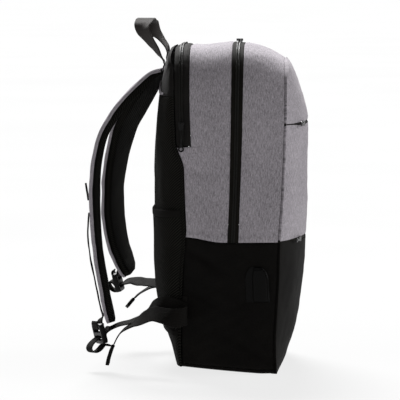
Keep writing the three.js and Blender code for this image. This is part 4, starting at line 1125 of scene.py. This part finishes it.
def anchor(node, side):
    z = np.linspace(ANCHOR_FOOT, ANCHOR_HEAD, 30)[:, None]
    y = np.linspace(ANCHOR_FRONT, ANCHOR_REAR, 10)[None, :]
    grid = skin(side, up_to(np.broadcast_to(z, (30, 10)), BAG_HEIGHT), y)
    grid += grid_normals(grid) * (GAP + WEBBING_THICK)
    outer, inner = sewn(grid, WEBBING_THICK, 0.1, 77, roll=0.4, pucker=0.05)
    shell(node + "_tape", outer, inner, node, WEBBING)


def yoke_face(x, z):
    v = up_to(z, BACK_TOP)
    edge = skin(1, v, seam_rear(level_of(v)))[..., 0]
    return float(back_point(x / edge, v, 1, PAD_EDGE)[..., 1])


def handle():
    rows = [
        (x, yoke_face(x, z) + SEWN_LIFT + HANDLE_THICK / 2 if y is None else y, z, *across)
        for x, y, z, *across in HANDLE_ROUTE
    ]
    sweep("handle_tape", rows, 220, tape_ring(HANDLE_WIDTH, HANDLE_THICK), "handle",
          HANDLE, tape_shape(99, 0.25))


# Hard pieces

BUCKLE_WIDTH = 36.0
BUCKLE_LENGTH = 27.0
BUCKLE_THICK = 4.0
BAR_SWELL = 1.6
BUCKLE_ROUND, EDGE_ROUND = 6, 1.1
# Frame beside a slot, half a slot's height, a slot's middle above and below the bar
SLOT_SIDE, SLOT_HALF, SLOT_AT = 4, 2.8, 5.4


def buckles():
    """Ladder buckles: a rounded frame with a bar between its two slots."""
    for side in ("left", "right"):
        middle, across, up, face = buckle_frame(side)
        half, tall = BUCKLE_WIDTH / 2, BUCKLE_LENGTH / 2
        inside = half - SLOT_SIDE

        def box(wide, low, high, radius, steps):
            return rounded([(-wide, low), (wide, low), (wide, high), (-wide, high)], radius, steps)

        outline = box(half, -tall, tall, BUCKLE_ROUND, 5)
        slots = [box(inside, m - SLOT_HALF, m + SLOT_HALF, 1.4, 3) for m in (-SLOT_AT, SLOT_AT)]
        curve = bpy.data.curves.new("buckle_outline", "CURVE")
        curve.dimensions, curve.fill_mode = "2D", "BOTH"
        curve.extrude = (BUCKLE_THICK / 2 + BAR_SWELL - EDGE_ROUND) * 0.001
        curve.bevel_depth, curve.bevel_resolution = EDGE_ROUND * 0.001, 3
        curve.offset = -EDGE_ROUND * 0.001
        for ring in [outline, *slots]:
            line = curve.splines.new("POLY")
            line.points.add(len(ring) - 1)
            for point, (a, b) in zip(line.points, ring):
                point.co = (a * 0.001, b * 0.001, 0, 1)
            line.use_cyclic_u = True
        holder = link("buckle_outline", curve)
        graph = bpy.context.evaluated_depsgraph_get()
        mesh = bpy.data.meshes.new_from_object(holder.evaluated_get(graph))
        bpy.data.objects.remove(holder)
        co = np.empty(len(mesh.vertices) * 3)
        mesh.vertices.foreach_get("co", co)
        co = co.reshape(-1, 3) * 1000
        placed = middle + co[:, :1] * across + co[:, 1:2] * up + co[:, 2:] * face
        mesh.vertices.foreach_set("co", (placed * 0.001).ravel())
        mesh.update()
        node = "ladder_buckle_" + side
        put_in(node + "_moulded", mesh, node, PLASTIC, 40)


def zip_metal():
    """Sliders and pullers keep their solids, with softened edges."""
    for name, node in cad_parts.items():
        if name.endswith(("_zip_slider", "_zip_puller")):
            node.data.materials.clear()
            node.data.materials.append(DULL_METAL if name.startswith("laptop") else METAL)
            bevel = node.modifiers.new("soft_edge", "BEVEL")
            bevel.width = 0.0006 if name.endswith("slider") else 0.0004
            bevel.segments = 3
            bevel.limit_method, bevel.angle_limit = "ANGLE", math.radians(35)


# Studio

TARGET = Vector((0, 0.042, 0.2207))
AZIMUTH, ELEVATION = math.radians(-88), math.radians(4.33)
DISTANCE = 3.945
LENS = 260.1
FAR = 1000
FLOOR_HALF = 300.0
FLOOR_GLOW = 0.79
WORLD_LIGHT = 0.3
# name, power, size in degrees, where it shines from
SUNS = (("top", 8.6, 24, (0.85, 0.2, 1)), ("rim", 2.0, 30, (0.22, -0.9, 0.36)))


def camera():
    data = bpy.data.cameras.new("camera")
    data.lens, data.sensor_width = LENS, 36
    data.clip_end = FAR
    back = Vector((
        math.sin(AZIMUTH) * math.cos(ELEVATION), -math.cos(AZIMUTH) * math.cos(ELEVATION),
        math.sin(ELEVATION),
    ))
    cam = link("camera", data)
    cam.rotation_mode = "QUATERNION"
    cam.location = TARGET + back * DISTANCE
    cam.rotation_quaternion = (-back).to_track_quat("-Z", "Y")
    bpy.context.scene.camera = cam


def studio():
    mesh = bpy.data.meshes.new("floor")
    corners = [(-1, -1), (1, -1), (1, 1), (-1, 1)]
    mesh.from_pydata([(x * FLOOR_HALF, y * FLOOR_HALF, 0) for x, y in corners], [], [(0, 1, 2, 3)])
    floor = link("floor", mesh)
    n = Nodes("pale_floor")
    haze = n.noise(place_of(n), 1.5, 2.0, 0.5, 1.0)
    tint = n.ramp(haze, [(0.3, (0.076, 0.076, 0.076)), (0.7, (0.084, 0.084, 0.084))])
    n.finish(tint, 0.7, **{
        "Specular IOR Level": 0.0, "Emission Color": (1, 1, 1, 1), "Emission Strength": FLOOR_GLOW,
    })
    mesh.materials.append(n.mat)
    world = bpy.data.worlds.new("studio")
    world.use_nodes = True
    sky = world.node_tree.nodes["Background"]
    sky.inputs["Color"].default_value = (1, 1, 1, 1)
    sky.inputs["Strength"].default_value = WORLD_LIGHT
    bpy.context.scene.world = world
    for name, power, size, source in SUNS:
        light = bpy.data.lights.new(name, "SUN")
        light.energy, light.angle = power, math.radians(size)
        lamp = link(name, light)
        lamp.rotation_mode = "QUATERNION"
        lamp.rotation_quaternion = Vector(source).to_track_quat("Z", "Y")
    bpy.context.scene.view_settings.view_transform = "Standard"


camera()
studio()
gussets()
zips()
fronts()
sides()
base()
padding()
sleeve()
root_patches()
port_cover()
straps()
handle()
buckles()
zip_metal()
